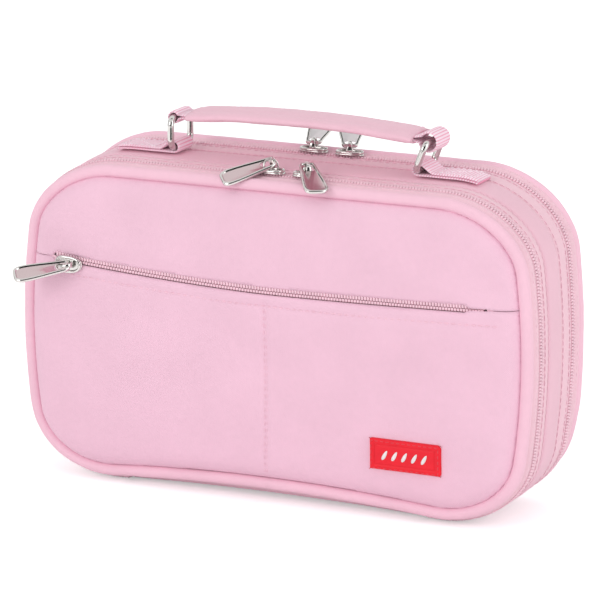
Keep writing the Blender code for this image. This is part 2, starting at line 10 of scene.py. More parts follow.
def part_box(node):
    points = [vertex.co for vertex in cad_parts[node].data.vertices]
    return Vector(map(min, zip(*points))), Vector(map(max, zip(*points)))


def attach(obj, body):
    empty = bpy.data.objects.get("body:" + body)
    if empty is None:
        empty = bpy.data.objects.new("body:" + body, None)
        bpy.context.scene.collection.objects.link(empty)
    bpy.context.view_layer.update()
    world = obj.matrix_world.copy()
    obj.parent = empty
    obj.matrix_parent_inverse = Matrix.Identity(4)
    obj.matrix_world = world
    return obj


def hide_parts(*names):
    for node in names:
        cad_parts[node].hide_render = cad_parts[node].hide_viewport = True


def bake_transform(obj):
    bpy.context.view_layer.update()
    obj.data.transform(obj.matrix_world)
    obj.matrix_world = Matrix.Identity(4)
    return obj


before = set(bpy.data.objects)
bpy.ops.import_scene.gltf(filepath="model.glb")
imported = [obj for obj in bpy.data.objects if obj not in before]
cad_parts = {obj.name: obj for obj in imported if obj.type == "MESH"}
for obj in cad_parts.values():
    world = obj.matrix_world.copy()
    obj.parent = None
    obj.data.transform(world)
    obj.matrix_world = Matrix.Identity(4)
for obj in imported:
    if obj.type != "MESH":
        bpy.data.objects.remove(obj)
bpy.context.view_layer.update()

MM = 0.001

# Sizes of the case, repeated from its model
WIDTH = 0.2250
HEIGHT = 0.1335
COIL = 0.0175
CORNER_X = 0.0344
CORNER_Z = 0.0290
SIDE_BOW = 0.0074
REAR_RISE = 0.0026
STRIP_HALF = WIDTH / 2 - SIDE_BOW - CORNER_X - 0.0054
CREASE = 0.0268
CROWN = 0.0045
POCKET_Z = HEIGHT - 0.0420
POCKET_HALF = WIDTH / 2 - 0.0185

# Sizes of the look alone: the base's arch at the crease, its arch at the zips and its drop at the corners,
# how much wider the rear cover stands, the piping's radius and the spacing of the main zips' ribs
CREASE_ARCH = 0.0062
BASE_LIFT = 0.0032
BASE_DROP = 0.0014
REAR_WIDER = 0.0024
BEAD = 0.0025
RIB = 0.0013


# Small helpers


def smooth(low, high, x):
    t = np.clip((np.asarray(x, float) - low) / (high - low), 0.0, 1.0)
    return t * t * (3 - 2 * t)


def rough(x, y, z, scale, seed=0.0):
    """Soft cloth noise, about -1 to 1, at a wavelength of scale metres."""
    return noise.noise(Vector((x / scale + seed, y / scale - seed, z / scale + 2.7 * seed)))


def add_mesh(name, points, faces, stuff, flat=False, uv=None):
    data = bpy.data.meshes.new(name)
    data.from_pydata([tuple(p) for p in points], [], faces)
    data.validate()
    data.update()
    if uv is not None:
        layer = data.uv_layers.new(name="UVMap")
        uv = np.asarray(uv, float)
        for loop in data.loops:
            layer.data[loop.index].uv = uv[loop.vertex_index]
    data.polygons.foreach_set("use_smooth", [not flat] * len(data.polygons))
    obj = bpy.data.objects.new(name, data)
    bpy.context.scene.collection.objects.link(obj)
    obj.data.materials.append(stuff)
    return obj


def loft_faces(rows, around, closed=False, first=0):
    """Faces between rows of points, each with the same number around, capped at both ends unless closed."""
    faces = []
    for k in range(rows if closed else rows - 1):
        here = first + k * around
        ahead = first + (k + 1) % rows * around
        for a in range(around):
            b = (a + 1) % around
            faces.append((here + a, here + b, ahead + b, ahead + a))
    if not closed:
        faces.append(tuple(first + a for a in range(around))[::-1])
        faces.append(tuple(first + (rows - 1) * around + a for a in range(around)))
    return faces


def bake(obj):
    """Apply an object's modifiers and transform to its mesh."""
    bpy.context.view_layer.update()
    graph = bpy.context.evaluated_depsgraph_get()
    data = bpy.data.meshes.new_from_object(obj.evaluated_get(graph))
    data.transform(obj.matrix_world)
    name = obj.name
    bpy.data.objects.remove(obj, do_unlink=True)
    made = bpy.data.objects.new(name, data)
    made.name = name
    bpy.context.scene.collection.objects.link(made)
    return made


def round_edges(obj, width, segments=2, angle=35):
    change = obj.modifiers.new("round", "BEVEL")
    change.width = width
    change.segments = segments
    change.limit_method = "ANGLE"
    change.angle_limit = math.radians(angle)
    made = bake(obj)
    made.data.polygons.foreach_set("use_smooth", [True] * len(made.data.polygons))
    return made


# Materials


class Nodes:
    """Short calls for building a material's node tree."""

    def __init__(self, name, colour, rough, metal=0.0):
        self.stuff = bpy.data.materials.new(name)
        self.stuff.use_nodes = True
        self.tree = self.stuff.node_tree
        self.shader = self.tree.nodes["Principled BSDF"]
        self.shader.inputs["Base Color"].default_value = (*colour, 1.0)
        self.shader.inputs["Roughness"].default_value = rough
        self.shader.inputs["Metallic"].default_value = metal
        self.stuff.diffuse_color = (*colour, 1.0)

    def add(self, kind, **values):
        node = self.tree.nodes.new(kind)
        for key, value in values.items():
            if hasattr(node, key):
                setattr(node, key, value)
            else:
                node.inputs[key.replace("_", " ")].default_value = value
        return node

    def link(self, source, target):
        self.tree.links.new(source, target)

    def math(self, operation, a, b=None):
        node = self.tree.nodes.new("ShaderNodeMath")
        node.operation = operation
        for socket, value in zip(node.inputs, (a, b)):
            if value is None:
                continue
            if isinstance(value, (int, float)):
                socket.default_value = value
            else:
                self.link(value, socket)
        return node.outputs[0]

    def ramp(self, source, stops):
        node = self.tree.nodes.new("ShaderNodeValToRGB")
        while len(node.color_ramp.elements) < len(stops):
            node.color_ramp.elements.new(0.5)
        for element, (at, colour) in zip(node.color_ramp.elements, stops):
            element.position = at
            element.color = (*colour, 1.0)
        self.link(source, node.inputs["Fac"])
        return node.outputs["Color"]

    def bump(self, height, strength, distance):
        node = self.tree.nodes.new("ShaderNodeBump")
        node.inputs["Strength"].default_value = strength
        node.inputs["Distance"].default_value = distance
        self.link(height, node.inputs["Height"])
        self.link(node.outputs["Normal"], self.shader.inputs["Normal"])


def cloth(
    name,
    colour,
    pitch=0.75,
    rib=False,
    sheen=0.25,
    depth=0.16,
    blotch=0.05,
    rough_value=0.82,
    valley_shade=0.07,
    valley=None,
    levels=(0.25, 0.62),
):
    """Woven cloth: over-and-under threads on UVs in millimetres, faint slubs, fuzz and patchy tone, with
    painted shade in the weave's valleys and a painted highlight on its crowns.
    """
    n = Nodes(name, colour, rough_value)
    n.shader.inputs["Sheen Weight"].default_value = sheen
    n.shader.inputs["Sheen Roughness"].default_value = 0.45
    n.shader.inputs["Specular IOR Level"].default_value = 0.25
    uv = n.add("ShaderNodeUVMap", uv_map="UVMap")
    split = n.add("ShaderNodeSeparateXYZ")
    n.link(uv.outputs["UV"], split.inputs[0])
    turn = 2 * math.pi / pitch
    across = n.math("SINE", n.math("MULTIPLY", split.outputs["X"], turn))
    along = n.math("SINE", n.math("MULTIPLY", split.outputs["Y"], turn))
    weave = n.math("MULTIPLY", across, along)
    if rib:
        weave = n.math("ABSOLUTE", n.math("SINE", n.math("MULTIPLY", split.outputs["X"], turn / 2)))
    spot = n.add("ShaderNodeTexCoord")
    fuzz = n.add("ShaderNodeTexNoise", Scale=2600.0, Detail=2.0, Roughness=0.6)
    slub = n.add("ShaderNodeTexNoise", Scale=420.0, Detail=3.0, Roughness=0.6)
    patch = n.add("ShaderNodeTexNoise", Scale=38.0, Detail=2.0, Roughness=0.5)
    for node in (fuzz, slub, patch):
        n.link(spot.outputs["Object"], node.inputs["Vector"])
    height = n.math("ADD", n.math("MULTIPLY", weave, 0.5), n.math("MULTIPLY", fuzz.outputs["Fac"], 0.7))
    height = n.math("ADD", height, n.math("MULTIPLY", slub.outputs["Fac"], 0.8))
    n.bump(height, 0.45, depth * MM)
    light = tuple(min(1.0, c * (1 + blotch * 0.6)) for c in colour)
    # the dark end serves both the patchy tone and the painted shade in the weave's valleys; valley, when
    # given, sets its colour
    dark = valley or tuple(c * (1 - blotch) for c in colour)
    patches = n.math("MULTIPLY", patch.outputs["Fac"], 0.55)
    mixed = n.math("ADD", patches, n.math("MULTIPLY", slub.outputs["Fac"], 0.30))
    # painted shade and highlight: the colour follows the weave's height, darker in its valleys and lighter on
    # its crowns
    mixed = n.math("ADD", mixed, n.math("MULTIPLY", weave, valley_shade))
    n.link(n.ramp(mixed, [(levels[0], dark), (levels[1], light)]), n.shader.inputs["Base Color"])
    return n.stuff


def metal(name, colour, rough_value=0.12, metallic=1.0):
    """Polished nickel with faint handling marks."""
    n = Nodes(name, colour, rough_value, metallic)
    spot = n.add("ShaderNodeTexCoord")
    smear = n.add("ShaderNodeTexNoise", Scale=260.0, Detail=4.0, Roughness=0.65)
    scratch = n.add("ShaderNodeTexNoise", Scale=1500.0, Detail=2.0, Roughness=0.6)
    for node in (smear, scratch):
        n.link(spot.outputs["Object"], node.inputs["Vector"])
    wear = n.math("MULTIPLY", smear.outputs["Fac"], 0.16)
    n.link(n.math("ADD", wear, max(0.02, rough_value - 0.07)), n.shader.inputs["Roughness"])
    n.bump(scratch.outputs["Fac"], 0.06, 0.02 * MM)
    return n.stuff


def plastic(name, colour, rough_value, grain=0.03):
    n = Nodes(name, colour, rough_value)
    spot = n.add("ShaderNodeTexCoord")
    fine = n.add("ShaderNodeTexNoise", Scale=1800.0, Detail=3.0, Roughness=0.6)
    tone = n.add("ShaderNodeTexNoise", Scale=150.0, Detail=2.0, Roughness=0.5)
    for node in (fine, tone):
        n.link(spot.outputs["Object"], node.inputs["Vector"])
    dark = tuple(c * 0.93 for c in colour)
    n.link(n.ramp(tone.outputs["Fac"], [(0.35, dark), (0.65, colour)]), n.shader.inputs["Base Color"])
    n.bump(fine.outputs["Fac"], 0.30, grain * MM)
    return n.stuff


CANVAS = cloth("canvas", (0.895, 0.57, 0.70), depth=0.22)
# Painted shade: a darker copy of the canvas, used on the gusset, rear panel, hinge strips and handle pad,
# which stand away from the front light
CANVAS_PAINTED_SHADE = cloth("canvas_painted_shade", (0.88, 0.545, 0.645), blotch=0.04, depth=0.20)
BEAD_CLOTH = cloth("canvas_bead", (0.92, 0.575, 0.69), pitch=0.8, depth=0.12)
TAPE = cloth("zip_tape", (0.87, 0.575, 0.655), pitch=0.9, rib=True, depth=0.10, sheen=0.15)
# Grosgrain: strong painted shade in the valleys between its ribs and a painted highlight on the rib crowns
RIBBON = cloth(
    "grosgrain",
    (0.95, 0.74, 0.83),
    pitch=1.15,
    rib=True,
    sheen=0.2,
    depth=0.32,
    valley_shade=0.60,
    valley=(0.86, 0.34, 0.49),
    levels=(0.46, 0.90),
)
COIL_STUFF = plastic("zip_coil", (0.93, 0.62, 0.71), 0.42)
THREAD = plastic("thread", (0.93, 0.60, 0.70), 0.6)
PALE_THREAD = plastic("thread_strap", (0.96, 0.80, 0.87), 0.6)
DEEP = cloth("lining", (0.52, 0.13, 0.23), pitch=0.5, sheen=0.2)
NICKEL = metal("nickel", (0.66, 0.64, 0.62))
# Tab faces: on the front tabs, nickel tinted dark pink, a painted reflection of the pink case; on the rear
# tabs, paler, rougher and half metallic, a painted pale reflection
NICKEL_FACE_PINK_REFLECTION = metal("nickel_tab_face_painted_reflection", (0.62, 0.50, 0.51), 0.16)
NICKEL_FACE_PALE_REFLECTION = metal("nickel_rear_tab_face_painted_reflection", (0.80, 0.77, 0.78), 0.45, 0.35)
PATCH = plastic("patch_rubber", (0.87, 0.014, 0.030), 0.50)
PATCH.node_tree.nodes["Principled BSDF"].inputs["Specular IOR Level"].default_value = 0.28
PRINT = plastic("patch_print", (0.92, 0.88, 0.88), 0.55)
FOAM = plastic("foam_board", (0.75, 0.74, 0.74), 0.9, 0.10)

# The outline of the case at any depth

CORNER_STEPS = 16
TOP_STEPS = 60
SIDE_STEPS = 24


def rise_at(y):
    return REAR_RISE * np.clip((np.asarray(y, float) + COIL) / (2 * COIL), 0.0, 1.0)


def base_loop():
    """Steps round the outline from the middle of the base: (kind, share) so that every ring matches."""
    stretches = (
        ("base", TOP_STEPS // 2),
        ("c0", CORNER_STEPS),
        ("right", SIDE_STEPS),
        ("c1", CORNER_STEPS),
        ("top", TOP_STEPS),
        ("c2", CORNER_STEPS),
        ("left", SIDE_STEPS),
        ("c3", CORNER_STEPS),
        ("base2", TOP_STEPS // 2),
    )
    return [(kind, t) for kind, count in stretches for t in np.linspace(0, 1, count, endpoint=False)]


STEPS = base_loop()
RING_COUNT = len(STEPS)


def outline(inset, arch, y):
    """(x, z) round the case at an inset from its skin, as an array that starts at the base's middle."""
    half = WIDTH / 2 - SIDE_BOW - inset
    tall = HEIGHT / 2 - inset
    rx = max(CORNER_X - inset, 0.001)
    rz = max(CORNER_Z - inset, 0.001)
    cx = half - rx
    cz = tall - rz
    loop = []
    for kind, t in STEPS:
        turn = t * math.pi / 2
        if kind == "base":
            loop.append((cx * t, -tall))
        elif kind == "c0":
            loop.append((cx + rx * math.sin(turn), -cz - rz * math.cos(turn)))
        elif kind == "right":
            loop.append((half, cz * (2 * t - 1)))
        elif kind == "c1":
            loop.append((cx + rx * math.cos(turn), cz + rz * math.sin(turn)))
        elif kind == "top":
            loop.append((cx * (1 - 2 * t), tall))
        elif kind == "c2":
            loop.append((-cx - rx * math.sin(turn), cz + rz * math.cos(turn)))
        elif kind == "left":
            loop.append((-half, cz * (1 - 2 * t)))
        elif kind == "c3":
            loop.append((-cx - rx * math.cos(turn), -cz - rz * math.sin(turn)))
        else:
            loop.append((-cx * (1 - t), -tall))
    p = np.array(loop)
    u = p[:, 0] / half
    v = p[:, 1] / tall
    bow = np.sign(u) * SIDE_BOW * (1 - v * v) * np.abs(u)
    lift = np.where(v < 0, arch * (1 - u * u) * -v, rise_at(y) * v)
    return np.stack([p[:, 0] + bow, p[:, 1] + lift + HEIGHT / 2], 1)


def shell(inset, arch, y):
    """The outline as the cloth takes it: a base that arches up, and a rear cover wider than the front one."""
    arch = BASE_LIFT + arch * (1 - BASE_LIFT / CREASE_ARCH)
    ring = outline(inset, arch, y)
    more = REAR_WIDER * float(smooth(0.0190, 0.0236, y))
    up = smooth(0.012, 0.045, ring[:, 1])[:, None]
    made = ring * (1 - up) + outline(inset - more, arch, y) * up
    made[:, 1] -= BASE_DROP * np.clip(1 - made[:, 1] / 0.03, 0.0, 1.0)
    return made


def resample(loop, count, first=0.0, closed=True):
    """Points evenly spaced along a loop."""
    p = np.vstack([loop, loop[:1]]) if closed else loop
    run = np.r_[0.0, np.cumsum(np.linalg.norm(np.diff(p, axis=0), axis=1))]
    at = first + np.linspace(0.0, run[-1], count, endpoint=not closed)
    at = at % run[-1] if closed else at
    return np.stack([np.interp(at, run, p[:, i]) for i in range(p.shape[1])], 1)


def span(part):
    """Indices of the ring that a part covers: all of it, the zip's share or the hinge strip's."""
    ring = outline(0.0, 0.0, -1.0)
    under = (ring[:, 1] < 0.002) & (np.abs(ring[:, 0]) <= STRIP_HALF)
    order = np.arange(RING_COUNT)
    if part == "all":
        return order, True
    if part == "zip":
        keep = order[~under]
        return keep, False
    right = order[under & (ring[:, 0] >= 0)]
    left = order[under & (ring[:, 0] < 0)]
    return np.r_[left, right], False


def sweep(name, profile, stuff, part="all", wobble=0.0, seed=1.0, ends=None):
    """A closed cross-section of (y, inset, arch) points carried round the outline."""
    order, closed = span(part)
    rings = []
    for y, inset, arch in profile:
        ring = shell(inset, arch, y)[order]
        if ends is not None:
            ring[0, 0] += ends * (-1 if ring[0, 0] < 0 else 1)
            ring[-1, 0] += ends * (-1 if ring[-1, 0] < 0 else 1)
        rings.append(np.column_stack([ring[:, 0], np.full(len(ring), y), ring[:, 1]]))
    rings = np.array(rings)
    count = rings.shape[1]
    centre = np.array([0.0, 0.0, HEIGHT / 2])
    if wobble:
        for i in range(rings.shape[0]):
            for k in range(count):
                p = rings[i, k]
                away = np.array([p[0] - centre[0], 0.0, (p[2] - centre[2]) * 1.6])
                away /= np.linalg.norm(away) + 1e-9
                push = rough(p[0], p[1] * 1.5, p[2], 0.030, seed)
                push += 0.5 * rough(p[0], p[1], p[2], 0.011, seed + 3)
                rings[i, k] = p + away * push * wobble
    points = rings.reshape(-1, 3)
    m = rings.shape[0]
    length = np.r_[0.0, np.cumsum(np.linalg.norm(np.diff(rings[0], axis=0), axis=1))] / MM
    girth = np.r_[0.0, np.cumsum([math.dist(profile[i][:2], profile[i + 1][:2]) for i in range(m - 1)])] / MM
    uv = [(length[k], girth[i]) for i in range(m) for k in range(count)]
    faces = []
    for i in range(m):
        j = (i + 1) % m
        for k in range(count if closed else count - 1):
            l = (k + 1) % count
            faces.append((i * count + k, i * count + l, j * count + l, j * count + k))
    if not closed:
        faces.append(tuple(i * count for i in range(m)))
        faces.append(tuple(i * count + count - 1 for i in reversed(range(m))))
    obj = add_mesh(name, points, faces, stuff, uv=uv)
    fix_normals(obj)
    return obj


def fix_normals(obj):
    bpy.context.view_layer.objects.active = obj
    for other in bpy.context.selected_objects:
        other.select_set(False)
    obj.select_set(True)
    bpy.ops.object.mode_set(mode="EDIT")
    bpy.ops.mesh.select_all(action="SELECT")
    bpy.ops.mesh.normals_make_consistent(inside=False)
    bpy.ops.object.mode_set(mode="OBJECT")
    obj.select_set(False)


def tube(name, path, radius, stuff, around=12, closed=True, squash=1.0):
    """A round bar along 3D points, with UVs in millimetres."""
    p = np.asarray(path, float)
    count = len(p)
    ahead = np.roll(p, -1, 0) - np.roll(p, 1, 0) if closed else np.gradient(p, axis=0)
    ahead /= np.linalg.norm(ahead, axis=1)[:, None] + 1e-12
    up = np.array([0.0, 1.0, 0.0])
    if np.abs(ahead @ up).max() > 0.95:
        up = np.array([1.0, 0.0, 0.0])
    if np.abs(ahead @ up).max() > 0.95:
        up = np.array([0.0, 0.0, 1.0])
    side = np.cross(ahead, up)
    side /= np.linalg.norm(side, axis=1)[:, None]
    over = np.cross(side, ahead)
    points = []
    uv = []
    run = np.r_[0.0, np.cumsum(np.linalg.norm(np.diff(p, axis=0), axis=1))] / MM
    for k in range(count):
        for a in range(around):
            turn = 2 * math.pi * a / around
            points.append(p[k] + radius * (math.cos(turn) * side[k] + squash * math.sin(turn) * over[k]))
            uv.append((run[k], a / around * 2 * math.pi * radius / MM))
    obj = add_mesh(name, points, loft_faces(count, around, closed), stuff, uv=uv)
    fix_normals(obj)
    return obj


def stitches(name, path, normals, stuff, length=0.0021, gap=0.0009, radius=0.00028, sink=0.1):
    """A row of thread stitches that lie on a surface along a path."""
    p = np.asarray(path, float)
    n = np.asarray(normals, float)
    run = np.r_[0.0, np.cumsum(np.linalg.norm(np.diff(p, axis=0), axis=1))]
    count = max(1, int(run[-1] / (length + gap)))
    points = []
    faces = []
    for s in range(count):
        start = (s + 0.5 * gap / (length + gap)) * run[-1] / count
        rings = []
        for share, size in ((0.0, 0.35), (0.15, 0.85), (0.5, 1.0), (0.85, 0.85), (1.0, 0.35)):
            at = start + share * length
            c = np.array([np.interp(at, run, p[:, i]) for i in range(3)])
            up = np.array([np.interp(at, run, n[:, i]) for i in range(3)])
            up /= np.linalg.norm(up)
            c2 = np.array([np.interp(at + 1e-4, run, p[:, i]) for i in range(3)])
            c1 = np.array([np.interp(at - 1e-4, run, p[:, i]) for i in range(3)])
            go = c2 - c1
            go /= np.linalg.norm(go) + 1e-12
            side = np.cross(go, up)
            hump = 1 - (2 * share - 1) ** 2
            c = c + up * radius * (hump * 1.1 - sink - 0.3)
            ring = []
            for t in (0, 1.05, 2.09, 3.14, 4.19, 5.24):
                ring.append(c + radius * size * (math.cos(t) * side + math.sin(t) * up))
            rings.append(ring)
        faces += loft_faces(len(rings), 6, first=len(points))
        for ring in rings:
            points += ring
    return add_mesh(name, points, faces, stuff)


def ring_path(inset, arch, y, part="zip", lift=0.0):
    """Points and outward normals along the outline, for a stitch row."""
    order, _ = span(part)
    ring = shell(inset - lift, arch, y)
    ahead = np.roll(ring, -1, 0) - np.roll(ring, 1, 0)
    out = np.stack([ahead[:, 1], -ahead[:, 0]], 1)
    out /= np.linalg.norm(out, axis=1)[:, None]
    p = np.column_stack([ring[:, 0], np.full(len(ring), y), ring[:, 1]])[order]
    n = np.column_stack([out[:, 0], np.zeros(len(ring)), out[:, 1]])[order]
    return p, n


# Middle section: gusset, tapes, lining


def rides(obj, body, slot, *nodes):
    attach(obj, body)
    if nodes:
        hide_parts(*nodes)
    return obj


def divided(edge, steps):
    """The (y, inset, arch) points with each stretch cut into equal steps."""
    made = []
    for start, end in zip(edge, edge[1:]):
        for s in range(steps):
            t = s / steps
            made.append(tuple(a + (b - a) * t for a, b in zip(start, end)))
    made.append(edge[-1])
    return made


def skin(name, edge, stuff, thick, part="all", wobble=0.0, seed=1.0, steps=1):
    """A cloth band whose outer face follows edge, a list of (y, inset, arch), with a parallel inner face."""
    outer = divided(edge, steps)
    inner = [(y, i + thick, a) for y, i, a in reversed(outer)]
    return sweep(name, outer + inner, stuff, part, wobble, seed)


gusset = skin(
    "gusset",
    [
        (-0.00925, 0.0009, 0.0),
        (-0.0090, 0.0003, 0.0),
        (-0.0084, -0.0001, 0.0),
        (-0.0060, -0.0003, 0.0),
        (-0.0022, -0.0004, 0.0),
        (0.0020, -0.0003, 0.0),
        (0.0040, -0.0001, 0.0),
        (0.0046, 0.0003, 0.0),
        (0.0048, 0.0010, 0.0),
    ],
    CANVAS_PAINTED_SHADE, 0.0014, "all", 0.00030, 2.0, 2,
)
rides(gusset, "middle", "canvas", "gusset_band")
tape_front = skin(
    "tape_front_middle",
    [
        (-0.0158, 0.0008, 0.0),
        (-0.0155, 0.0003, 0.0),
        (-0.0120, 0.0000, 0.0),
        (-0.0100, 0.0001, 0.0),
        (-0.0094, 0.0005, 0.0),
        (-0.00932, 0.0012, 0.0),
    ],
    TAPE, 0.0011, "zip", 0.00018, 2.4, 2,
)
rides(tape_front, "middle", "zip_tape", "gusset_tape_front")
tape_rear = skin(
    "tape_rear_middle",
    [
        (0.00485, 0.0012, 0.0),
        (0.0050, 0.0005, 0.0),
        (0.0058, 0.0002, 0.0),
        (0.0100, 0.0000, 0.0),
        (0.0150, 0.0002, 0.0),
        (0.0158, 0.0008, 0.0),
    ],
    TAPE, 0.0011, "zip", 0.00022, 5.4, 2,
)
rides(tape_rear, "middle", "zip_tape", "gusset_tape_rear")
LINING_HALF = 0.0118
lining_section = [
    (-LINING_HALF, 0.0018, 0),
    (LINING_HALF, 0.0018, 0),
    (LINING_HALF, 0.0028, 0),
    (-LINING_HALF, 0.0028, 0),
]
lining = sweep("gusset_inside", lining_section, DEEP)
rides(lining, "middle", "lining", "gusset_lining")

for name, y in (("seam_a", -0.0102), ("seam_b", 0.0060), ("seam_c", 0.0132), ("seam_d", -0.0138)):
    p, n = ring_path(0.0, 0.0, y, "zip", 0.0001)
    rides(stitches("stitch_" + name, p, n, THREAD, 0.0024, 0.0005, 0.00022, 0.5), "middle", "zip_tape")

# Zip teeth: ribs of nylon coil on both sides of the slot


# Share of a rib's length, its height there and its width there
RIB_SHAPE = ((0.0, 0.45, 0.30), (0.12, 0.85, 0.40), (0.5, 1.0, 0.42), (0.85, 0.95, 0.46), (1.0, 0.5, 0.40))
RIB_MIDDLE = 0.0158
RIB_COVER = 0.0192
SLOT_HALF = 0.0002


def teeth(name, part_y, face, stuff, body, node):
    """Ribs across one half of a round-the-case zip. part_y holds the ribs' far and near ends in |y|."""
    order, _ = span("zip")
    ring = shell(0.0, 0.0, face * COIL)[order]
    run = np.r_[0.0, np.cumsum(np.linalg.norm(np.diff(ring, axis=0), axis=1))]
    count = int(run[-1] / RIB)
    at = (np.arange(count) + (0.5 if body == "middle" else 0.0) + 0.25) * run[-1] / (count + 0.5)
    x = np.interp(at, run, ring[:, 0])
    z = np.interp(at, run, ring[:, 1])
    dx = np.interp(at + 2e-4, run, ring[:, 0]) - np.interp(at - 2e-4, run, ring[:, 0])
    dz = np.interp(at + 2e-4, run, ring[:, 1]) - np.interp(at - 2e-4, run, ring[:, 1])
    size = np.hypot(dx, dz) + 1e-12
    go = np.stack([dx / size, dz / size], 1)
    out = np.stack([go[:, 1], -go[:, 0]], 1)
    points = []
    faces = []
    far, near = part_y
    for c in range(count):
        rings = []
        for share, tall, wide in RIB_SHAPE:
            y = face * (far + (near - far) * share)
            loop = []
            for a in range(8):
                t = 2 * math.pi * a / 8
                off = RIB * wide * math.cos(t)
                rise = 0.0005 * tall * math.sin(t) - 0.0002
                at_x = x[c] + go[c, 0] * off + out[c, 0] * rise
                at_z = z[c] + go[c, 1] * off + out[c, 1] * rise
                loop.append((at_x, y, at_z))
            rings.append(loop)
        faces += loft_faces(len(rings), 8, first=len(points))
        for loop in rings:
            points += loop
    obj = add_mesh(name, points, faces, stuff)
    fix_normals(obj)
    return rides(obj, body, "zip_coil", node)


for side, face in (("front", -1), ("rear", 1)):
    cover = side + "_cover"
    middle_rib = (RIB_MIDDLE, COIL - SLOT_HALF)
    cover_rib = (RIB_COVER, COIL + SLOT_HALF)
    teeth("teeth_" + side + "_middle", middle_rib, face, COIL_STUFF, "middle", "gusset_coil_" + side)
    teeth("teeth_" + side + "_cover", cover_rib, face, COIL_STUFF, cover, cover + "_coil")
    for name, body, low, high in (
        ("backing_" + side + "_middle", "middle", 0.0156, COIL - 0.0003),
        ("backing_" + side + "_cover", cover, COIL + 0.0003, 0.0194),
    ):
        band = sweep(
            name,
            [
                (face * low, 0.0004, 0),
                (face * high, 0.0004, 0),
                (face * high, 0.0013, 0),
                (face * low, 0.0013, 0),
            ],
            TAPE,
            "zip",
        )
        rides(band, body, "zip_tape")

# Covers: slanting tape, piping, panels


def arched(share):
    """A share of the arch that the base has at the crease."""
    return CREASE_ARCH * share


for side, face in (("front", -1), ("rear", 1)):
    cover = side + "_cover"
    edge = [
        (face * 0.0193, 0.0010, arched(0.0)),
        (face * 0.0195, 0.0005, arched(0.0)),
        (face * 0.0206, 0.0004, arched(0.08)),
        (face * 0.0218, 0.0009, arched(0.25)),
        (face * 0.0228, 0.0017, arched(0.42)),
        (face * 0.0236, 0.0027, arched(0.55)),
    ]
    band = skin("slope_" + side, edge, TAPE, 0.0012, "zip", 0.00015, 3.0 + face, 2)
    rides(band, cover, "zip_tape", cover + "_tape")
    p, n = ring_path(0.0008, arched(0.1), face * 0.0212, "zip", 0.0001)
    rides(stitches("stitch_slope_" + side, p, n, THREAD, 0.0024, 0.0005, 0.00022, 0.5), cover, "zip_tape")
    ring = shell(0.0033, arched(0.8), face * 0.0245)
    path = resample(np.column_stack([ring[:, 0], np.full(len(ring), face * 0.0245), ring[:, 1]]), 300)
    bead = tube("piping_" + side, path, BEAD, BEAD_CLOTH, 16)
    for v in bead.data.vertices:
        push = 1 + 0.05 * rough(*v.co, 0.012, 8.0) + 0.03 * rough(*v.co, 0.004, 9.0)
        k = np.argmin(((path - np.array(v.co)) ** 2).sum(1))
        c = Vector(path[k])
        v.co = c + (v.co - c) * push
    rides(bead, cover, "piping", side + "_piping")

RIM = 0.0047


def distance_in(points, loop):
    """Distance of (x, z) points from a closed loop, as an array."""
    best = np.full(len(points), 1.0)
    a = loop
    b = np.roll(loop, -1, 0)
    for p0, p1 in zip(a, b):
        d = p1 - p0
        t = np.clip(((points - p0) @ d) / (d @ d + 1e-18), 0, 1)
        q = p0 + t[:, None] * d
        best = np.minimum(best, np.hypot(*(points - q).T))
    return best


def inside(points, loop):
    hit = np.zeros(len(points), bool)
    x, z = points[:, 0], points[:, 1]
    for p0, p1 in zip(loop, np.roll(loop, -1, 0)):
        crosses = (p0[1] > z) != (p1[1] > z)
        with np.errstate(divide="ignore", invalid="ignore"):
            at = p0[0] + (z - p0[1]) * (p1[0] - p0[0]) / (p1[1] - p0[1])
        hit ^= crosses & (x < at)
    return hit


def cloth_sheet(name, loop, depth, face, thick, stuff, pitch=0.0012):
    """A cloth panel inside a loop: its outer face stands at y = face * depth(x, z)."""
    low = loop.min(0)
    high = loop.max(0)
    xs = np.arange(low[0] + pitch * 0.6, high[0], pitch)
    zs = np.arange(low[1] + pitch * 0.6, high[1], pitch)
    grid = np.array([(x + (pitch / 2 if r % 2 else 0), z) for r, z in enumerate(zs) for x in xs])
    grid = grid[inside(grid, loop)]
    grid = grid[distance_in(grid, loop) > pitch * 0.55]
    flat = [Vector(p) for p in np.vstack([loop, grid])]
    edges = [(i, (i + 1) % len(loop)) for i in range(len(loop))]
    flat, _, faces, *_ = geometry.delaunay_2d_cdt(flat, edges, [], 1, 1e-7)
    flat = np.array([tuple(p) for p in flat])
    y = depth(flat)
    outer = np.column_stack([flat[:, 0], face * y, flat[:, 1]])
    obj = add_mesh(name, outer, [tuple(f) for f in faces], stuff, uv=flat / MM)
    fix_side(obj, face)
    thicken = obj.modifiers.new("cloth", "SOLIDIFY")
    thicken.thickness = thick
    thicken.offset = -1.0
    made = bake(obj)
    made.data.polygons.foreach_set("use_smooth", [True] * len(made.data.polygons))
    return made


def fix_side(obj, face):
    """Turn a sheet so that its normals point out of the case."""
    total = sum(p.normal.y * p.area for p in obj.data.polygons)
    if total * face < 0:
        obj.data.flip_normals()


FRONT_RIM = shell(RIM, arched(1.0), -CREASE)
REAR_RIM = shell(RIM, arched(1.0), CREASE)


def wrinkles(p, amount, seed):
    """Long soft folds and small puckers."""
    made = np.empty(len(p))
    for i, (x, z) in enumerate(p):
        long = rough(x * 0.55, 0.0, z * 1.5, 0.034, seed)
        small = rough(x, 0.0, z * 1.3, 0.010, seed + 5)
        made[i] = long + 0.35 * small
    return made * amount


SAG_HALF = 0.094


def zip_z(x):
    """Height of the pocket zip's middle: the cloth sags a little between the ends."""
    x = np.asarray(x, float)
    left = 0.0050 * np.clip(-x / SAG_HALF, 0, 1) ** 1.6
    right = 0.0020 * np.clip(x / SAG_HALF, 0, 1) ** 1.6
    return POCKET_Z - 0.0026 + left + right


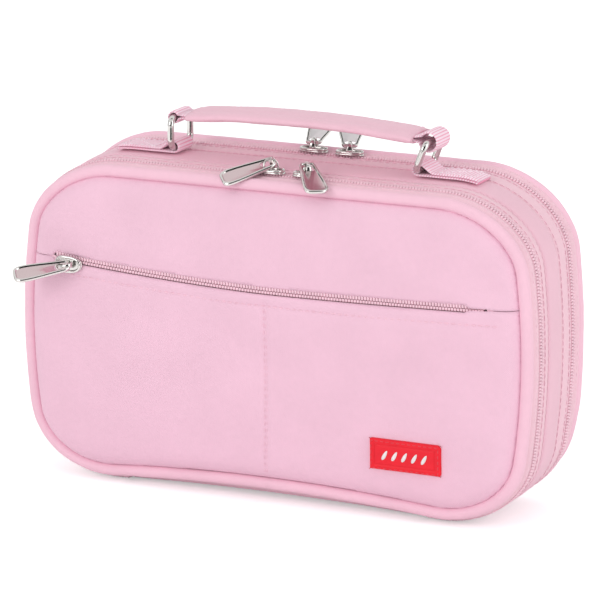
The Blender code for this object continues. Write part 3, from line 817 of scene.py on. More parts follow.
# Dents of the front panel: x, z, depth and width
DENTS = (
    (0.0985, 0.0975, 0.0011, 0.0060),
    (-0.0930, 0.0990, 0.0007, 0.0070),
    (-0.0850, 0.0800, 0.0004, 0.0080),
)


def front_depth(p):
    """How far the front panel stands out at (x, z) points: its swell, folds, zip valley, dents and seam."""
    d = distance_in(p, FRONT_RIM)
    y = CREASE - 0.0026 + (CROWN + 0.0022) * (1 - np.exp(-d / 0.0030)) + 0.0011 * smooth(0.0, 0.045, d)
    y += wrinkles(p, 0.00042, 4.0) * smooth(0.0, 0.010, d)
    x, z = p[:, 0], p[:, 1]
    # the valley in which the pocket zip lies, shallow at its ends
    off = z - zip_z(x)
    gap = np.abs(off)
    along = 1 - smooth(POCKET_HALF + 0.001, POCKET_HALF + 0.007, -x) - smooth(0.0835, 0.0895, x)
    valley = (1 - smooth(0.0022, 0.0080, gap)) * along
    y = y * (1 - valley) + np.minimum(y, 0.0312) * valley
    y -= 0.0006 * np.exp(-(((gap - 0.0010) / 0.0009) ** 2)) * along
    y += 0.00035 * np.exp(-(((off + 0.0036) / 0.0012) ** 2)) * along
    # topstitch under the zip
    y -= 0.00045 * np.exp(-(((off + 0.0062) / 0.0007) ** 2)) * smooth(0.0, 0.006, d) * along
    # dents where the zip ends pull the cloth
    for cx, cz, deep, wide in DENTS:
        y -= deep * np.exp(-(((x - cx) / wide) ** 2) - ((z - cz) / (0.8 * wide)) ** 2) * smooth(0.0, 0.006, d)
    # the upright seam that divides the pocket
    below = smooth(POCKET_Z - 0.0050, POCKET_Z - 0.0085, z)
    y -= 0.00065 * np.exp(-(((x - seam_x(z)) / 0.0013) ** 2)) * below * smooth(0.0, 0.008, d)
    y -= 0.00055 * np.exp(-(((x - seam_x(z)) / 0.0110) ** 2)) * below * smooth(0.0, 0.012, d)
    return y


def seam_x(z):
    return -0.0008 + 0.0010 * np.sin((np.asarray(z) - 0.010) / 0.075 * math.pi)


def rear_depth(p):
    d = distance_in(p, REAR_RIM)
    y = CREASE - 0.0026 + (0.6 * CROWN + 0.0022) * (1 - np.exp(-d / 0.0030)) + 0.0006 * smooth(0.0, 0.045, d)
    return y + wrinkles(p, 0.00040, 14.0) * smooth(0.0, 0.010, d)


SLOT = 0.0015


def cut_level(x, sign):
    """Height of a panel's folded edge beside the zip; beyond the zip's ends the two panels meet."""
    x = np.asarray(x, float)
    open_to = 1 - smooth(POCKET_HALF - 0.0005, POCKET_HALF + 0.0020, np.abs(x))
    open_to = open_to * (1 - 0.75 * smooth(0.0845, 0.0875, x))
    return zip_z(x) + sign * (0.00015 + (SLOT - 0.00015) * open_to)


def half_panel(sign):
    """The front rim's loop above or below the zip, closed along the folded edge."""
    keep = FRONT_RIM[(FRONT_RIM[:, 1] - cut_level(FRONT_RIM[:, 0], sign)) * sign > 0.0004]
    start = int(np.argmax(np.linalg.norm(np.roll(keep, 1, 0) - keep, axis=1)))
    keep = np.roll(keep, -start, 0)
    first, last = keep[0], keep[-1]
    ends = []
    for p in (last, first):
        edge = float(np.interp(cut_level(p[0], sign), *rim_side(p[0] > 0)))
        ends.append(edge)
    xs = np.linspace(ends[0], ends[1], 330)
    return np.vstack([keep, np.column_stack([xs, cut_level(xs, sign)])])


def rim_side(positive):
    """The rim's x against its height, on one side."""
    part = FRONT_RIM[(FRONT_RIM[:, 0] > 0) == positive]
    part = part[(part[:, 1] > 0.05) & (part[:, 1] < 0.11)]
    part = part[np.argsort(part[:, 1])]
    return part[:, 1], part[:, 0]


upper = cloth_sheet("panel_upper", half_panel(1), front_depth, -1, 0.0014, CANVAS)
rides(upper, "front_cover", "canvas", "front_panel_upper")
pocket = cloth_sheet("panel_pocket", half_panel(-1), front_depth, -1, 0.0014, CANVAS)
rides(pocket, "front_cover", "canvas", "front_pocket_panel")
back = cloth_sheet("panel_rear", REAR_RIM, rear_depth, 1, 0.0014, CANVAS_PAINTED_SHADE, 0.0016)
rides(back, "rear_cover", "canvas", "rear_panel")


def on_front(path, lift=0.0):
    """3D points and normals on the front panel's skin for a list of (x, z)."""
    p = np.asarray(path, float)
    y = front_depth(p)
    return np.column_stack([p[:, 0], -y - lift, p[:, 1]]), np.tile([0.0, -1.0, 0.0], (len(p), 1))


rows = np.linspace(-0.0960, 0.0990, 180)
p, n = on_front(np.column_stack([rows, zip_z(rows) - 0.0062]), 0.0001)
rides(stitches("stitch_under_zip", p, n, THREAD, 0.0020, 0.0008, 0.00024), "front_cover", "canvas")
levels = np.linspace(POCKET_Z - 0.0095, 0.0130, 90)
for k, off in enumerate((-0.0005, 0.0005)):
    p, n = on_front(np.column_stack([seam_x(levels) + off, levels]), 0.0001)
    thread = stitches("stitch_divider_%d" % k, p, n, THREAD, 0.0022, 0.0006, 0.00018, 0.6)
    rides(thread, "front_cover", "canvas")

# Pocket zip

zip_y = 0.0309


def bar_box(name, low, high, stuff, edge=0.0002):
    x0, y0, z0 = low
    x1, y1, z1 = high
    points = [(x, y, z) for x in (x0, x1) for y in (y0, y1) for z in (z0, z1)]
    faces = [(0, 1, 3, 2), (4, 6, 7, 5), (0, 4, 5, 1), (2, 3, 7, 6), (0, 2, 6, 4), (1, 5, 7, 3)]
    obj = add_mesh(name, points, faces, stuff, uv=[(p[0] / MM, p[2] / MM) for p in points])
    fix_normals(obj)
    return round_edges(obj, edge) if edge else obj


for name, sign in (("upper", 1), ("lower", -1)):
    xs = np.linspace(-POCKET_HALF - 0.001, POCKET_HALF + 0.001, 120)
    points = []
    for x in xs:
        z = float(zip_z(x))
        for dy in (0.0024, 0.0031):
            points += [(x, -zip_y + dy, z + sign * 0.0004), (x, -zip_y + dy, z + sign * 0.0085)]
    faces = []
    for k in range(len(xs) - 1):
        q, r = 4 * k, 4 * k + 4
        faces += [(q, q + 1, r + 1, r), (q + 2, r + 2, r + 3, q + 3)]
        faces += [(q, r, r + 2, q + 2), (q + 1, q + 3, r + 3, r + 1)]
    faces += [(0, 2, 3, 1), (4 * len(xs) - 4, 4 * len(xs) - 3, 4 * len(xs) - 1, 4 * len(xs) - 2)]
    uv = [(p[0] / MM, p[2] / MM) for p in points]
    tape = add_mesh("pocket_zip_tape_" + name, points, faces, TAPE, uv=uv)
    fix_normals(tape)
    rides(tape, "front_cover", "zip_tape", "pocket_tape_" + name)
    pitch = 0.00125
    count = int(2 * POCKET_HALF / pitch)
    far = 0.0019 if sign > 0 else 0.0011
    points = []
    faces = []
    for c in range(count):
        x = -POCKET_HALF + (c + 0.25 + 0.25 * sign) * pitch
        mid = float(zip_z(x))
        faces += loft_faces(4, 8, first=len(points))
        for share, tall in ((0.0, 0.6), (0.2, 0.95), (0.8, 1.0), (1.0, 0.6)):
            z = mid + sign * (0.0001 + far * share)
            for a in range(8):
                t = 2 * math.pi * a / 8
                y = -zip_y + 0.0007 - 0.0006 * tall * math.sin(t)
                points.append((x + 0.47 * pitch * math.cos(t), y, z))
    coil = add_mesh("pocket_zip_teeth_" + name, points, faces, COIL_STUFF)
    fix_normals(coil)
    rides(coil, "front_cover", "zip_coil", "pocket_coil_" + name)

# Hinge strips under the case


def strip_sheet(name, face, nodes, middle_edge):
    """One folded cloth strip from the gusset to the piping, bending at the hinge line."""
    order, _ = span("strip")
    profile = [
        (middle_edge, 0.0002, 0.0),
        (face * (COIL - 0.002), 0.0000, 0.0),
        (face * COIL, 0.0000, 0.0),
        (face * (COIL + 0.0015), 0.0002, 0.0004),
        (face * 0.0208, 0.0012, 0.0014),
        (face * 0.0226, 0.0022, 0.0034),
        (face * 0.0238, 0.0034, 0.0049),
    ]
    full = divided(profile, 3)
    inner = [(y, i + 0.0012, a) for y, i, a in reversed(full)]
    obj = sweep(name, full + inner, CANVAS_PAINTED_SHADE, "strip", 0.00012, 7.0, 0.0012)
    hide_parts(*nodes)
    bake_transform(obj)
    return obj


strip_sheet("hinge_strip_front", -1, ("hinge_strip_front_inner", "hinge_strip_front_outer"), -0.0090)
strip_sheet("hinge_strip_rear", 1, ("hinge_strip_rear_inner", "hinge_strip_rear_outer"), 0.0046)

# Label

patch_low, patch_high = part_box("label_patch")
centre_x = (patch_low.x + patch_high.x) / 2
centre_z = (patch_low.z + patch_high.z) / 2
half_x = (patch_high.x - patch_low.x) / 2
half_z = (patch_high.z - patch_low.z) / 2


def label_skin():
    """The patch: a soft slab that follows the panel, with a pressed groove and a raised rim."""
    cols, tiers = 92, 42
    points = []
    for j in range(tiers + 1):
        for i in range(cols + 1):
            u = -1 + 2 * i / cols
            v = -1 + 2 * j / tiers
            r = 0.0012
            x = u * half_x
            z = v * half_z
            over_x = max(0.0, abs(x) - (half_x - r))
            over_z = max(0.0, abs(z) - (half_z - r))
            over = math.hypot(over_x, over_z)
            if over > r:
                x = math.copysign(half_x - r + over_x * r / over, x)
                z = math.copysign(half_z - r + over_z * r / over, z)
            edge = min(half_x - abs(x), half_z - abs(z))
            height = 0.0013 * min(1.0, math.sqrt(max(0.0, edge) / 0.0006))
            groove = math.exp(-((edge - 0.0024) / 0.00030) ** 2)
            points.append((x, z, height - 0.00045 * groove))
    base = np.array([(centre_x + x, centre_z + z) for x, z, _ in points])
    y = front_depth(base)
    outer = [(b[0], -yy - h, b[1]) for b, yy, (_, _, h) in zip(base, y, points)]
    faces = []
    for j in range(tiers):
        for i in range(cols):
            a = j * (cols + 1) + i
            faces.append((a, a + 1, a + cols + 2, a + cols + 1))
    obj = add_mesh("label", outer, faces, PATCH, uv=base / MM)
    fix_side(obj, -1)
    thicken = obj.modifiers.new("back", "SOLIDIFY")
    thicken.thickness = 0.0008
    thicken.offset = -1.0
    made = bake(obj)
    made.data.polygons.foreach_set("use_smooth", [True] * len(made.data.polygons))
    return made


rides(label_skin(), "front_cover", "patch", "label_patch")


def leaf(cx, cz, length, wide, turn):
    """A plain leaf outline, used for the label's mark."""
    loop = []
    for s in range(24):
        t = 2 * math.pi * s / 24
        x = length / 2 * math.cos(t)
        z = wide / 2 * math.sin(t) * (1 - 0.25 * math.cos(t))
        across = x * math.cos(turn) - z * math.sin(turn)
        loop.append((cx + across, cz + x * math.sin(turn) + z * math.cos(turn)))
    return loop


marks = []
for k in range(5):
    marks.append(leaf(centre_x + (k - 2) * 0.0042, centre_z, 0.0044, 0.0014, math.radians(62)))
points = []
faces = []
for loop in marks:
    first = len(points)
    y = front_depth(np.array(loop))
    for lift in (0.0010, 0.0016):
        points += [(x, -yy - lift, z) for (x, z), yy in zip(loop, y)]
    k = len(loop)
    faces.append(tuple(first + k + i for i in range(k)))
    faces.append(tuple(first + i for i in reversed(range(k))))
    for i in range(k):
        j = (i + 1) % k
        faces.append((first + i, first + j, first + k + j, first + k + i))
mark = add_mesh("label_mark", points, faces, PRINT)
fix_normals(mark)
rides(mark, "front_cover", "motif", "label_motif")
edge = []
for x, z in ((-1, -1), (1, -1), (1, 1), (-1, 1), (-1, -1)):
    edge.append((centre_x + x * (half_x - 0.0010), centre_z + z * (half_z - 0.0010)))
path = []
for (x0, z0), (x1, z1) in zip(edge, edge[1:]):
    path += [(x0 + (x1 - x0) * s / 20, z0 + (z1 - z0) * s / 20) for s in range(20)]
p, n = on_front(path, 0.0013)
RED_THREAD = plastic("thread_red", (0.80, 0.05, 0.07), 0.6)
rides(stitches("stitch_label", p, n, RED_THREAD, 0.0015, 0.0008, 0.00022), "front_cover", "patch")


# Inside the case: linings, divider, loops and net


def cloth_copy(node, stuff, body, slot, width=0.0003, flat_uv="xz"):
    """A CAD piece with rounded edges and cloth UVs in millimetres, standing for its node."""
    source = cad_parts[node]
    data = source.data.copy()
    obj = bpy.data.objects.new("look_" + node, data)
    bpy.context.scene.collection.objects.link(obj)
    data.materials.clear()
    data.materials.append(stuff)
    weld = obj.modifiers.new("weld", "WELD")
    weld.merge_threshold = 1e-5
    made = bake(obj)
    if width:
        made = round_edges(made, width)
    while made.data.uv_layers:
        made.data.uv_layers.remove(made.data.uv_layers[0])
    layer = made.data.uv_layers.new(name="UVMap")
    first, second = ["xyz".index(c) for c in flat_uv]
    for loop in made.data.loops:
        co = made.data.vertices[loop.vertex_index].co
        layer.data[loop.index].uv = (co[first] / MM, co[second] / MM)
    return rides(made, body, slot, node)


for side in ("front", "rear"):
    cover = side + "_cover"
    cloth_copy(cover + "_lining", DEEP, cover, "lining")
    cloth_copy(cover + "_board", FOAM if side == "rear" else DEEP, cover, "foam")
cloth_copy("front_cover_wall", DEEP, "front_cover", "lining")
cloth_copy("divider_panel", DEEP, "middle", "lining")

LOOP_STUFF = cloth("elastic", (0.62, 0.20, 0.31), pitch=0.9, rib=True, depth=0.15)
NET = cloth("net", (0.66, 0.30, 0.40), pitch=1.4, rib=True, depth=0.4)
cloth_copy("pen_loops", LOOP_STUFF, "middle", "webbing", 0.0002)
cloth_copy("net_pocket", NET, "middle", "lining", 0.0002)

# Pulls: slider, arched bridge and tab in polished nickel, the tabs' sunk faces with painted reflections


def frame_of(centre, run, out):
    run, out = Vector(run).normalized(), Vector(out).normalized()
    side = out.cross(run)
    m = Matrix((run, side, out)).transposed().to_4x4()
    m.translation = Vector(centre)
    return m


def lathe_box(name, stations, stuff, around=20):
    """A rounded bar lofted through (x, half_width, low, high, power) stations along its own X."""
    points = []
    for x, half, low, high, power in stations:
        for a in range(around):
            t = 2 * math.pi * a / around
            c, s = math.cos(t), math.sin(t)
            y = half * math.copysign(abs(c) ** (2 / power), c)
            z = (low + high) / 2 + (high - low) / 2 * math.copysign(abs(s) ** (2 / power), s)
            points.append((x, y, z))
    obj = add_mesh(name, points, loft_faces(len(stations), around), stuff)
    fix_normals(obj)
    return obj


def joined(name, pieces):
    for other in bpy.context.selected_objects:
        other.select_set(False)
    for piece in pieces:
        piece.select_set(True)
    bpy.context.view_layer.objects.active = pieces[0]
    bpy.ops.object.join()
    made = bpy.context.view_layer.objects.active
    made.name = name
    made.select_set(False)
    return made


PLATE_X = 0.0120
PLATE_Y = 0.0080
PIVOT_UP = 0.0031
CLEAR = 0.0003
PLATE_THICK = 0.0012


def slider(name, centre, run, out, heading, body):
    """Upper plate with a nose, lower plate, a stem between them and an arched bridge over the tab's bar."""
    place = frame_of(centre, run, out)
    half = PLATE_X / 2

    def plan(u):
        nose = math.sqrt(max(0.0, 1 - abs(u) ** 3.4))
        return (PLATE_Y / 2) * (0.86 + 0.14 * u) * (0.16 + 0.84 * nose), 0.30 + 0.70 * nose

    upper_rows = []
    lower_rows = []
    for u in np.linspace(-1, 1, 25):
        wide, tall = plan(u)
        upper_rows.append((u * half, wide, CLEAR, CLEAR + 0.0014 * tall, 3.2))
        lower_rows.append((u * half * 0.97, wide * 0.94, -0.0036, -0.0036 + 0.0011 * tall, 3.2))
    plate = lathe_box(name + "_plate", upper_rows, NICKEL, 32)
    under = lathe_box(name + "_under", lower_rows, NICKEL, 24)
    rim = []
    for t in np.linspace(0, 2 * math.pi, 44, endpoint=False):
        c, q = math.cos(t), math.sin(t)
        lip_x = half * 0.88 * math.copysign(abs(c) ** 0.75, c)
        lip_y = (PLATE_Y / 2) * 0.82 * (0.90 + 0.10 * c) * math.copysign(abs(q) ** 0.75, q)
        rim.append((lip_x, lip_y, CLEAR + 0.0014))
    lip = tube(name + "_lip", rim, 0.00062, NICKEL, 10)
    stem_ends = [(x, 0.0005, -0.0028, 0.0008, 4) for x in (0.0010, 0.0040)]
    stem = lathe_box(name + "_stem", stem_ends, NICKEL, 12)
    arc = []
    for t in np.linspace(0, math.pi, 29):
        arc_x = -0.0030 * math.copysign(abs(math.cos(t)) ** 0.7, math.cos(t))
        arc.append((arc_x, 0.0, 0.0012 + 0.0048 * math.sin(t) ** 0.55))
    bridge = bridge_strip(name + "_bridge", arc)
    level = place.to_3x3().inverted() @ Vector(heading)
    bridge.data.transform(Matrix.Rotation(math.atan2(level.y, level.x), 4, "Z"))
    made = joined(name, [plate, lip, under, stem, bridge])
    made.data.transform(place)
    return rides(made, body, "nickel", body)


def bridge_strip(name, arc):
    points = []
    for k, (x, _, z) in enumerate(arc):
        x0, _, z0 = arc[max(0, k - 1)]
        x1, _, z1 = arc[min(len(arc) - 1, k + 1)]
        go = Vector((x1 - x0, 0, z1 - z0)).normalized()
        over = Vector((-go.z, 0, go.x))
        flare = 0.0007 + 0.0007 * (1 - math.sin(math.pi * k / (len(arc) - 1))) ** 1.5
        for y, h in ((-1, -0.6), (-1, 0.3), (-0.7, 0.6), (0.7, 0.6), (1, 0.3), (1, -0.6)):
            p = Vector((x, y * flare, z)) + over * (h * 0.00045)
            points.append(tuple(p))
    obj = add_mesh(name, points, loft_faces(len(arc), 6), NICKEL)
    fix_normals(obj)
    return obj


TAB_LENGTH = 0.0220
TAB_TIP = 0.0100
TAB_ROOT = 0.0068
TIP_ROUND = 0.0036


def tab_outline(inset):
    """Half-outline of the tab in (x, y), from its root to its tip, at an inset."""
    length = TAB_LENGTH - 0.0010 - inset
    loop = []
    for x in np.linspace(-0.0020 + inset, length - TIP_ROUND, 14):
        share = (x + 0.0020) / (TAB_LENGTH)
        half = TAB_ROOT / 2 + (TAB_TIP - TAB_ROOT) / 2 * smooth(0.0, 0.85, share) - inset
        if x < 0.0005:
            half *= math.sqrt(max(0.15, 1 - ((0.0005 - x) / 0.0034) ** 2))
        loop.append((x, float(half)))
    tip = loop[-1][1]
    for t in np.linspace(0.1, 1, 9):
        a = t * math.pi / 2
        half = tip * (0.30 + 0.70 * max(0.0, math.cos(a)) ** 0.7)
        loop.append((length - TIP_ROUND + TIP_ROUND * math.sin(a), half))
    return loop


# Section of a tab from its edge to its sunk face: inset and height
TAB_SECTION = ((0.0, -0.00040), (0.0, 0.00040), (0.00030, 0.00078), (0.00100, 0.00078), (0.00130, 0.00016))


def tab(name, centre, out, heading, droop, roll, body):
    """A pull tab: a rounded frame with a raised rim, a flat sunk face and an open eye at its root."""
    out = Vector(out).normalized()
    head = Vector(heading)
    flat = (head - out * head.dot(out)).normalized()
    go = flat * math.cos(math.radians(droop)) - out * math.sin(math.radians(droop))
    bar = flat.cross(out)
    up = bar.cross(go).normalized()
    if up.dot(out) < 0:
        up = -up
    up = Matrix.Rotation(math.radians(roll), 3, go) @ up
    m = Matrix((go, up.cross(go), up)).transposed().to_4x4()
    m.translation = Vector(centre) + out * (CLEAR + PLATE_THICK + PIVOT_UP)
    rows = []
    for inset, z in TAB_SECTION:
        half = tab_outline(inset)
        loop = half + [(x, -y) for x, y in reversed(half)]
        rows.append([(x, y, z) for x, y in loop])
    under = [[(x, y, -z) for x, y, z in row] for row in rows[1:]]
    rows = list(reversed(under)) + rows[1:]
    count = len(rows[0])
    points = [p for row in rows for p in row]
    obj = add_mesh(name, points, loft_faces(len(rows), count), NICKEL)
    # the sunk faces take a face material with a painted reflection: dark pink on the front tabs, pale on the
    # rear ones
    obj.data.materials.append(NICKEL_FACE_PALE_REFLECTION if name.startswith("look_rear") else NICKEL_FACE_PINK_REFLECTION)
    for face in obj.data.polygons[-2:]:
        face.material_index = 1
    fix_normals(obj)
    loop = []
    for t in np.linspace(0, 2 * math.pi, 24, endpoint=False):
        c, q = math.cos(t), math.sin(t)
        eye_x = 0.0024 + 0.0019 * math.copysign(abs(c) ** 0.6, c)
        loop.append((eye_x, 0.0021 * math.copysign(abs(q) ** 0.6, q)))
    pts = [(x, y, z) for z in (-0.002, 0.002) for x, y in loop]
    fcs = [tuple(range(24))[::-1], tuple(range(24, 48))]
    fcs += [(i, (i + 1) % 24, 24 + (i + 1) % 24, 24 + i) for i in range(24)]
    hole = add_mesh(name + "_eye", pts, fcs, NICKEL)
    fix_normals(hole)
    cut = obj.modifiers.new("eye", "BOOLEAN")
    cut.operation = "DIFFERENCE"
    cut.solver = "EXACT"
    cut.object = hole
    made = bake(obj)
    bpy.data.objects.remove(hole, do_unlink=True)
    made = round_edges(made, 0.00012, 2, 25)
    made.data.transform(m)
    return rides(made, body, "nickel", body)


REAR_TOP = HEIGHT + REAR_RISE
POCKET_SLIDER = (0.0066 - POCKET_HALF, -0.0312, POCKET_Z)
# Name, centre, run, outward, the tab's heading, its droop and its roll in degrees
PULLS = (
    ("front_zip_left", (-0.0040, -COIL, HEIGHT), (1, 0, 0), (0, 0, 1), (-0.83, -0.56, 0), 18, -22),
    ("front_zip_right", (0.0120, -COIL, HEIGHT), (-1, 0, 0), (0, 0, 1), (0.59, -0.81, 0), 18, 0),
    ("rear_zip_left", (-0.0010, COIL, REAR_TOP), (1, 0, 0), (0, 0, 1), (-0.245, 0.970, 0), -8, 0),
    ("rear_zip_right", (0.0150, COIL, REAR_TOP), (-1, 0, 0), (0, 0, 1), (-0.375, 0.927, 0), -8, 0),
    ("pocket_zip", POCKET_SLIDER, (-1, 0, 0), (0, -1, 0), (-1, 0, -0.20), -30, 60),
)
for name, centre, run, out, heading, droop, roll in PULLS:
    slider("look_" + name + "_slider", centre, run, out, heading, name + "_slider")
    tab("look_" + name + "_tab", centre, out, heading, droop, roll, name + "_tab")

# Straps, rings and handle

WIRE = 0.0014
WEBBING = 0.0010
STRAP_WIDE = 0.0140
RING_LEFT_X = -0.0524
RING_RIGHT_X = 0.0548
RING_SPAN = 0.0180
RING_RISE = 0.0122
RING_LEAN = math.radians(20)
HOLE = WIRE + CLEAR
SEAT_Z = HEIGHT + float(rise_at(STRAP_WIDE / 2)) + CLEAR
BAR_Z = SEAT_Z + WEBBING + HOLE
TOP_LEFT = np.array([RING_LEFT_X, BAR_Z + RING_RISE])
RIGHT_RUN = RING_RISE * math.sin(RING_LEAN)
TOP_RIGHT = np.array([RING_RIGHT_X + RIGHT_RUN, BAR_Z + RING_RISE * math.cos(RING_LEAN)])


def seat(x):
    flat = WIDTH / 2 - SIDE_BOW - CORNER_X
    over = max(0.0, abs(x) - flat) / CORNER_X
    return SEAT_Z - CORNER_Z * (1 - math.sqrt(max(0.0, 1 - over * over)))


def ribbon(name, path, wide, thick, stuff, closed=False, crown=0.0, twist=0.0):
    """A woven strap: a thin rounded section carried along (x, z) points, wide in y."""
    p = np.asarray(path, float)
    count = len(p)
    ahead = np.roll(p, -1, 0) - np.roll(p, 1, 0) if closed else np.gradient(p, axis=0)
    ahead /= np.linalg.norm(ahead, axis=1)[:, None] + 1e-12
    up = np.stack([-ahead[:, 1], ahead[:, 0]], 1)
    run = np.r_[0.0, np.cumsum(np.linalg.norm(np.diff(p, axis=0), axis=1))]
    across = np.linspace(-1, 1, 15)
    section = [(u, 1.0) for u in across] + [(u, -1.0) for u in across[::-1]]
    points = []
    uv = []
    for k in range(count):
        for u, f in section:
            edge = math.sqrt(max(0.0, 1 - abs(u) ** 10)) * 0.85 + 0.15
            y = u * wide / 2 * (1 + 0.006 * rough(p[k, 0], u, p[k, 1], 0.006, 21.0))
            h = f * thick / 2 * edge + crown * (1 - u * u) + 0.00006 * rough(p[k, 0], y, 0.0, 0.004, 22.0)
            points.append((p[k, 0] + up[k, 0] * h, y + twist * run[k], p[k, 1] + up[k, 1] * h))
            uv.append((run[k] / MM, y / MM))
    obj = add_mesh(name, points, loft_faces(count, len(section), closed), stuff, uv=uv)
    fix_normals(obj)
    return obj


# Stitch rows of a strap's tail, a box and a diagonal: distance from the ring, then side, at both ends
ROW_NEAR = 0.0085
ROW_FAR = 0.0235
STRAP_ROWS = (
    (ROW_NEAR, ROW_NEAR, -1, 1),
    (ROW_FAR, ROW_FAR, -1, 1),
    (ROW_NEAR, ROW_FAR, -1, -1),
    (ROW_NEAR, ROW_FAR, 1, 1),
    (ROW_NEAR, ROW_FAR, -1, 1),
)
for side, x, sign in (("left", RING_LEFT_X, -1), ("right", RING_RIGHT_X, 1)):
    lower = [(x + sign * r, seat(x + sign * r) + WEBBING / 2) for r in np.linspace(0.0255, 0.0, 22)]
    turn = []
    for a in np.linspace(-90, 68, 22)[1:]:
        t = math.radians(a)
        turn_x = x - sign * (HOLE + WEBBING / 2) * math.cos(t)
        turn.append((turn_x, BAR_Z + (HOLE + WEBBING / 2) * math.sin(t)))
    last = turn[-1]
    upper_path = []
    for r in np.linspace(0.0006, 0.0255, 26):
        px = x + sign * r
        sunk = seat(px) + 1.5 * WEBBING + 0.00004
        mix = float(smooth(0.0006, 0.0068, r))
        upper_path.append((px, (1 - mix) * (last[1] + 0.00005) + mix * sunk))
    band = ribbon("strap_" + side, lower + turn + upper_path, STRAP_WIDE, WEBBING, RIBBON)
    rides(band, "middle", "webbing", "strap_anchor_" + side)
    for row, (near, far, y0, y1) in enumerate(STRAP_ROWS):
        path = []
        norm = []
        for s in np.linspace(0, 1, 30):
            r = near + (far - near) * s
            px = x + sign * r
            across = (y0 + (y1 - y0) * s) * (STRAP_WIDE / 2 - 0.0014)
            path.append((px, across, seat(px) + 2 * WEBBING + 0.0001))
            slope = (seat(px + 1e-4) - seat(px - 1e-4)) / 2e-4
            norm.append((-slope, 0.0, 1.0))
        label = "stitch_strap_%s_%d" % (side, row)
        thread = stitches(label, path, norm, PALE_THREAD, 0.0017, 0.0006, 0.00025)
        rides(thread, "middle", "webbing")


def link(name, x, lean):
    """A rectangular wire ring with rounded corners and a hairline weld."""
    half = RING_SPAN / 2
    r = 0.0034
    loop = []
    wide = half - r
    high = RING_RISE - r
    for cy, cz, start in ((wide, high, 0), (-wide, high, 90), (-wide, r, 180), (wide, r, 270)):
        for a in np.linspace(0, 90, 14, endpoint=False):
            t = math.radians(start + a)
            loop.append((0.0, cy + r * math.cos(t), cz + r * math.sin(t)))
    path = resample(np.array(loop), 96)
    obj = tube(name, path, WIRE, NICKEL, 20)
    for v in obj.data.vertices:
        if abs(v.co.z) < 0.002 and abs(v.co.y - 0.0030) < 0.00020:
            v.co.x *= 0.94
    obj.data.transform(Matrix.Translation((x, 0, BAR_Z)) @ Matrix.Rotation(lean, 4, "Y"))
    return rides(obj, name.replace("look_", ""), "nickel", name.replace("look_", ""))


link("look_ring_left", RING_LEFT_X, 0.0)
link("look_ring_right", RING_RIGHT_X, RING_LEAN)


def grip(t):
    """Centre line of the handle, (x, z), at a share of the way between the rings."""
    p = TOP_LEFT + (TOP_RIGHT - TOP_LEFT) * t
    return np.array([p[0], p[1] + 0.0030 * (1 - (2 * t - 1) ** 2)])


def eye_path(centre, hole, start, end):
    """The strap's turn round a ring's bar, between two angles in degrees."""
    turns = [math.radians(a) for a in np.linspace(start, end, 26)]
    return [centre + (hole + WEBBING / 2) * np.array([math.cos(t), math.sin(t)]) for t in turns]


PLAY = 0.0016
left_eye = eye_path(TOP_LEFT, HOLE, 30, 345)
right_eye = eye_path(TOP_RIGHT, HOLE + PLAY, 190, 505)
body_line = [grip(t) for t in np.linspace(0.035, 0.935, 70)]
upper_line = [p + np.array([0.0, WEBBING * 0.52]) for p in body_line]
lower_line = [p - np.array([0.0, WEBBING * 0.52]) for p in body_line]
strap_line = left_eye + lower_line + right_eye + upper_line[::-1]
strap = ribbon("handle_strap", strap_line, STRAP_WIDE, WEBBING * 0.96, RIBBON, closed=True)
rides(strap, "handle", "webbing", "handle_webbing")


def sleeve():
    """The padded cloth wrap round the strap: hollow, with its long overlap and soft pinched ends."""
    count = 110
    section = 40
    rows = []
    for layer in (1, 0):
        for k in range(count):
            s = k / (count - 1)
            t = 0.060 + (0.946 - 0.060) * s
            c = grip(t)
            slope = grip(t + 0.01) - grip(t - 0.01)
            slope /= np.linalg.norm(slope)
            up = np.array([-slope[1], slope[0]])
            end = min(s, 1 - s) * 0.097
            full = 0.80 + 0.20 * float(smooth(0.0, 0.004, end))
            row = []
            for a in range(section):
                turn = 2 * math.pi * a / section
                y = math.copysign(abs(math.cos(turn)) ** 0.62, math.cos(turn))
                h = math.copysign(abs(math.sin(turn)) ** 0.62, math.sin(turn))
                if layer:
                    wide = 0.0100 * (0.97 + 0.03 * full)
                    tall = 0.0024 * full * (1 - 0.22 * y * y)
                    yy = y * wide
                    hh = h * tall
                    if h > 0:
                        hh -= 0.00075 * math.exp(-((yy + 0.0042) / 0.00055) ** 2)
                        hh += 0.00045 * float(smooth(-0.0042, -0.0020, yy)) - 0.0001
                        hh -= 0.00030 * math.exp(-((yy - 0.0082) / 0.0006) ** 2)
                    push = rough(c[0], yy * 1.3, h * 0.002, 0.013, 31.0)
                    push += 0.4 * rough(c[0], yy, h, 0.005, 32.0)
                    hh += 0.00028 * push
                    yy += 0.00035 * rough(c[0], h, 0.0, 0.018, 33.0)
                else:
                    yy = y * (STRAP_WIDE / 2 + CLEAR)
                    hh = h * (WEBBING + 0.00025)
                row.append((c[0] + up[0] * hh, yy, c[1] + up[1] * hh))
            rows.append(row)
    points = [p for row in rows for p in row]
    faces = []
    for layer in (0, 1):
        base = layer * count
        for k in range(count - 1):
            for a in range(section):
                b = (a + 1) % section
                here = (base + k) * section
                ahead = here + section
                q = (here + a, here + b, ahead + b, ahead + a)
                faces.append(q if layer == 0 else q[::-1])
    for k in (0, count - 1):
        for a in range(section):
            b = (a + 1) % section
            q = (k * section + a, k * section + b, (count + k) * section + b, (count + k) * section + a)
            faces.append(q[::-1] if k == 0 else q)
    uv = [(p[0] / MM, p[1] / MM + p[2] / MM * 0.5) for p in points]
    obj = add_mesh("handle_pad", points, faces, CANVAS_PAINTED_SHADE, uv=uv)
    fix_normals(obj)
    return rides(obj, "handle", "canvas", "handle_sleeve")


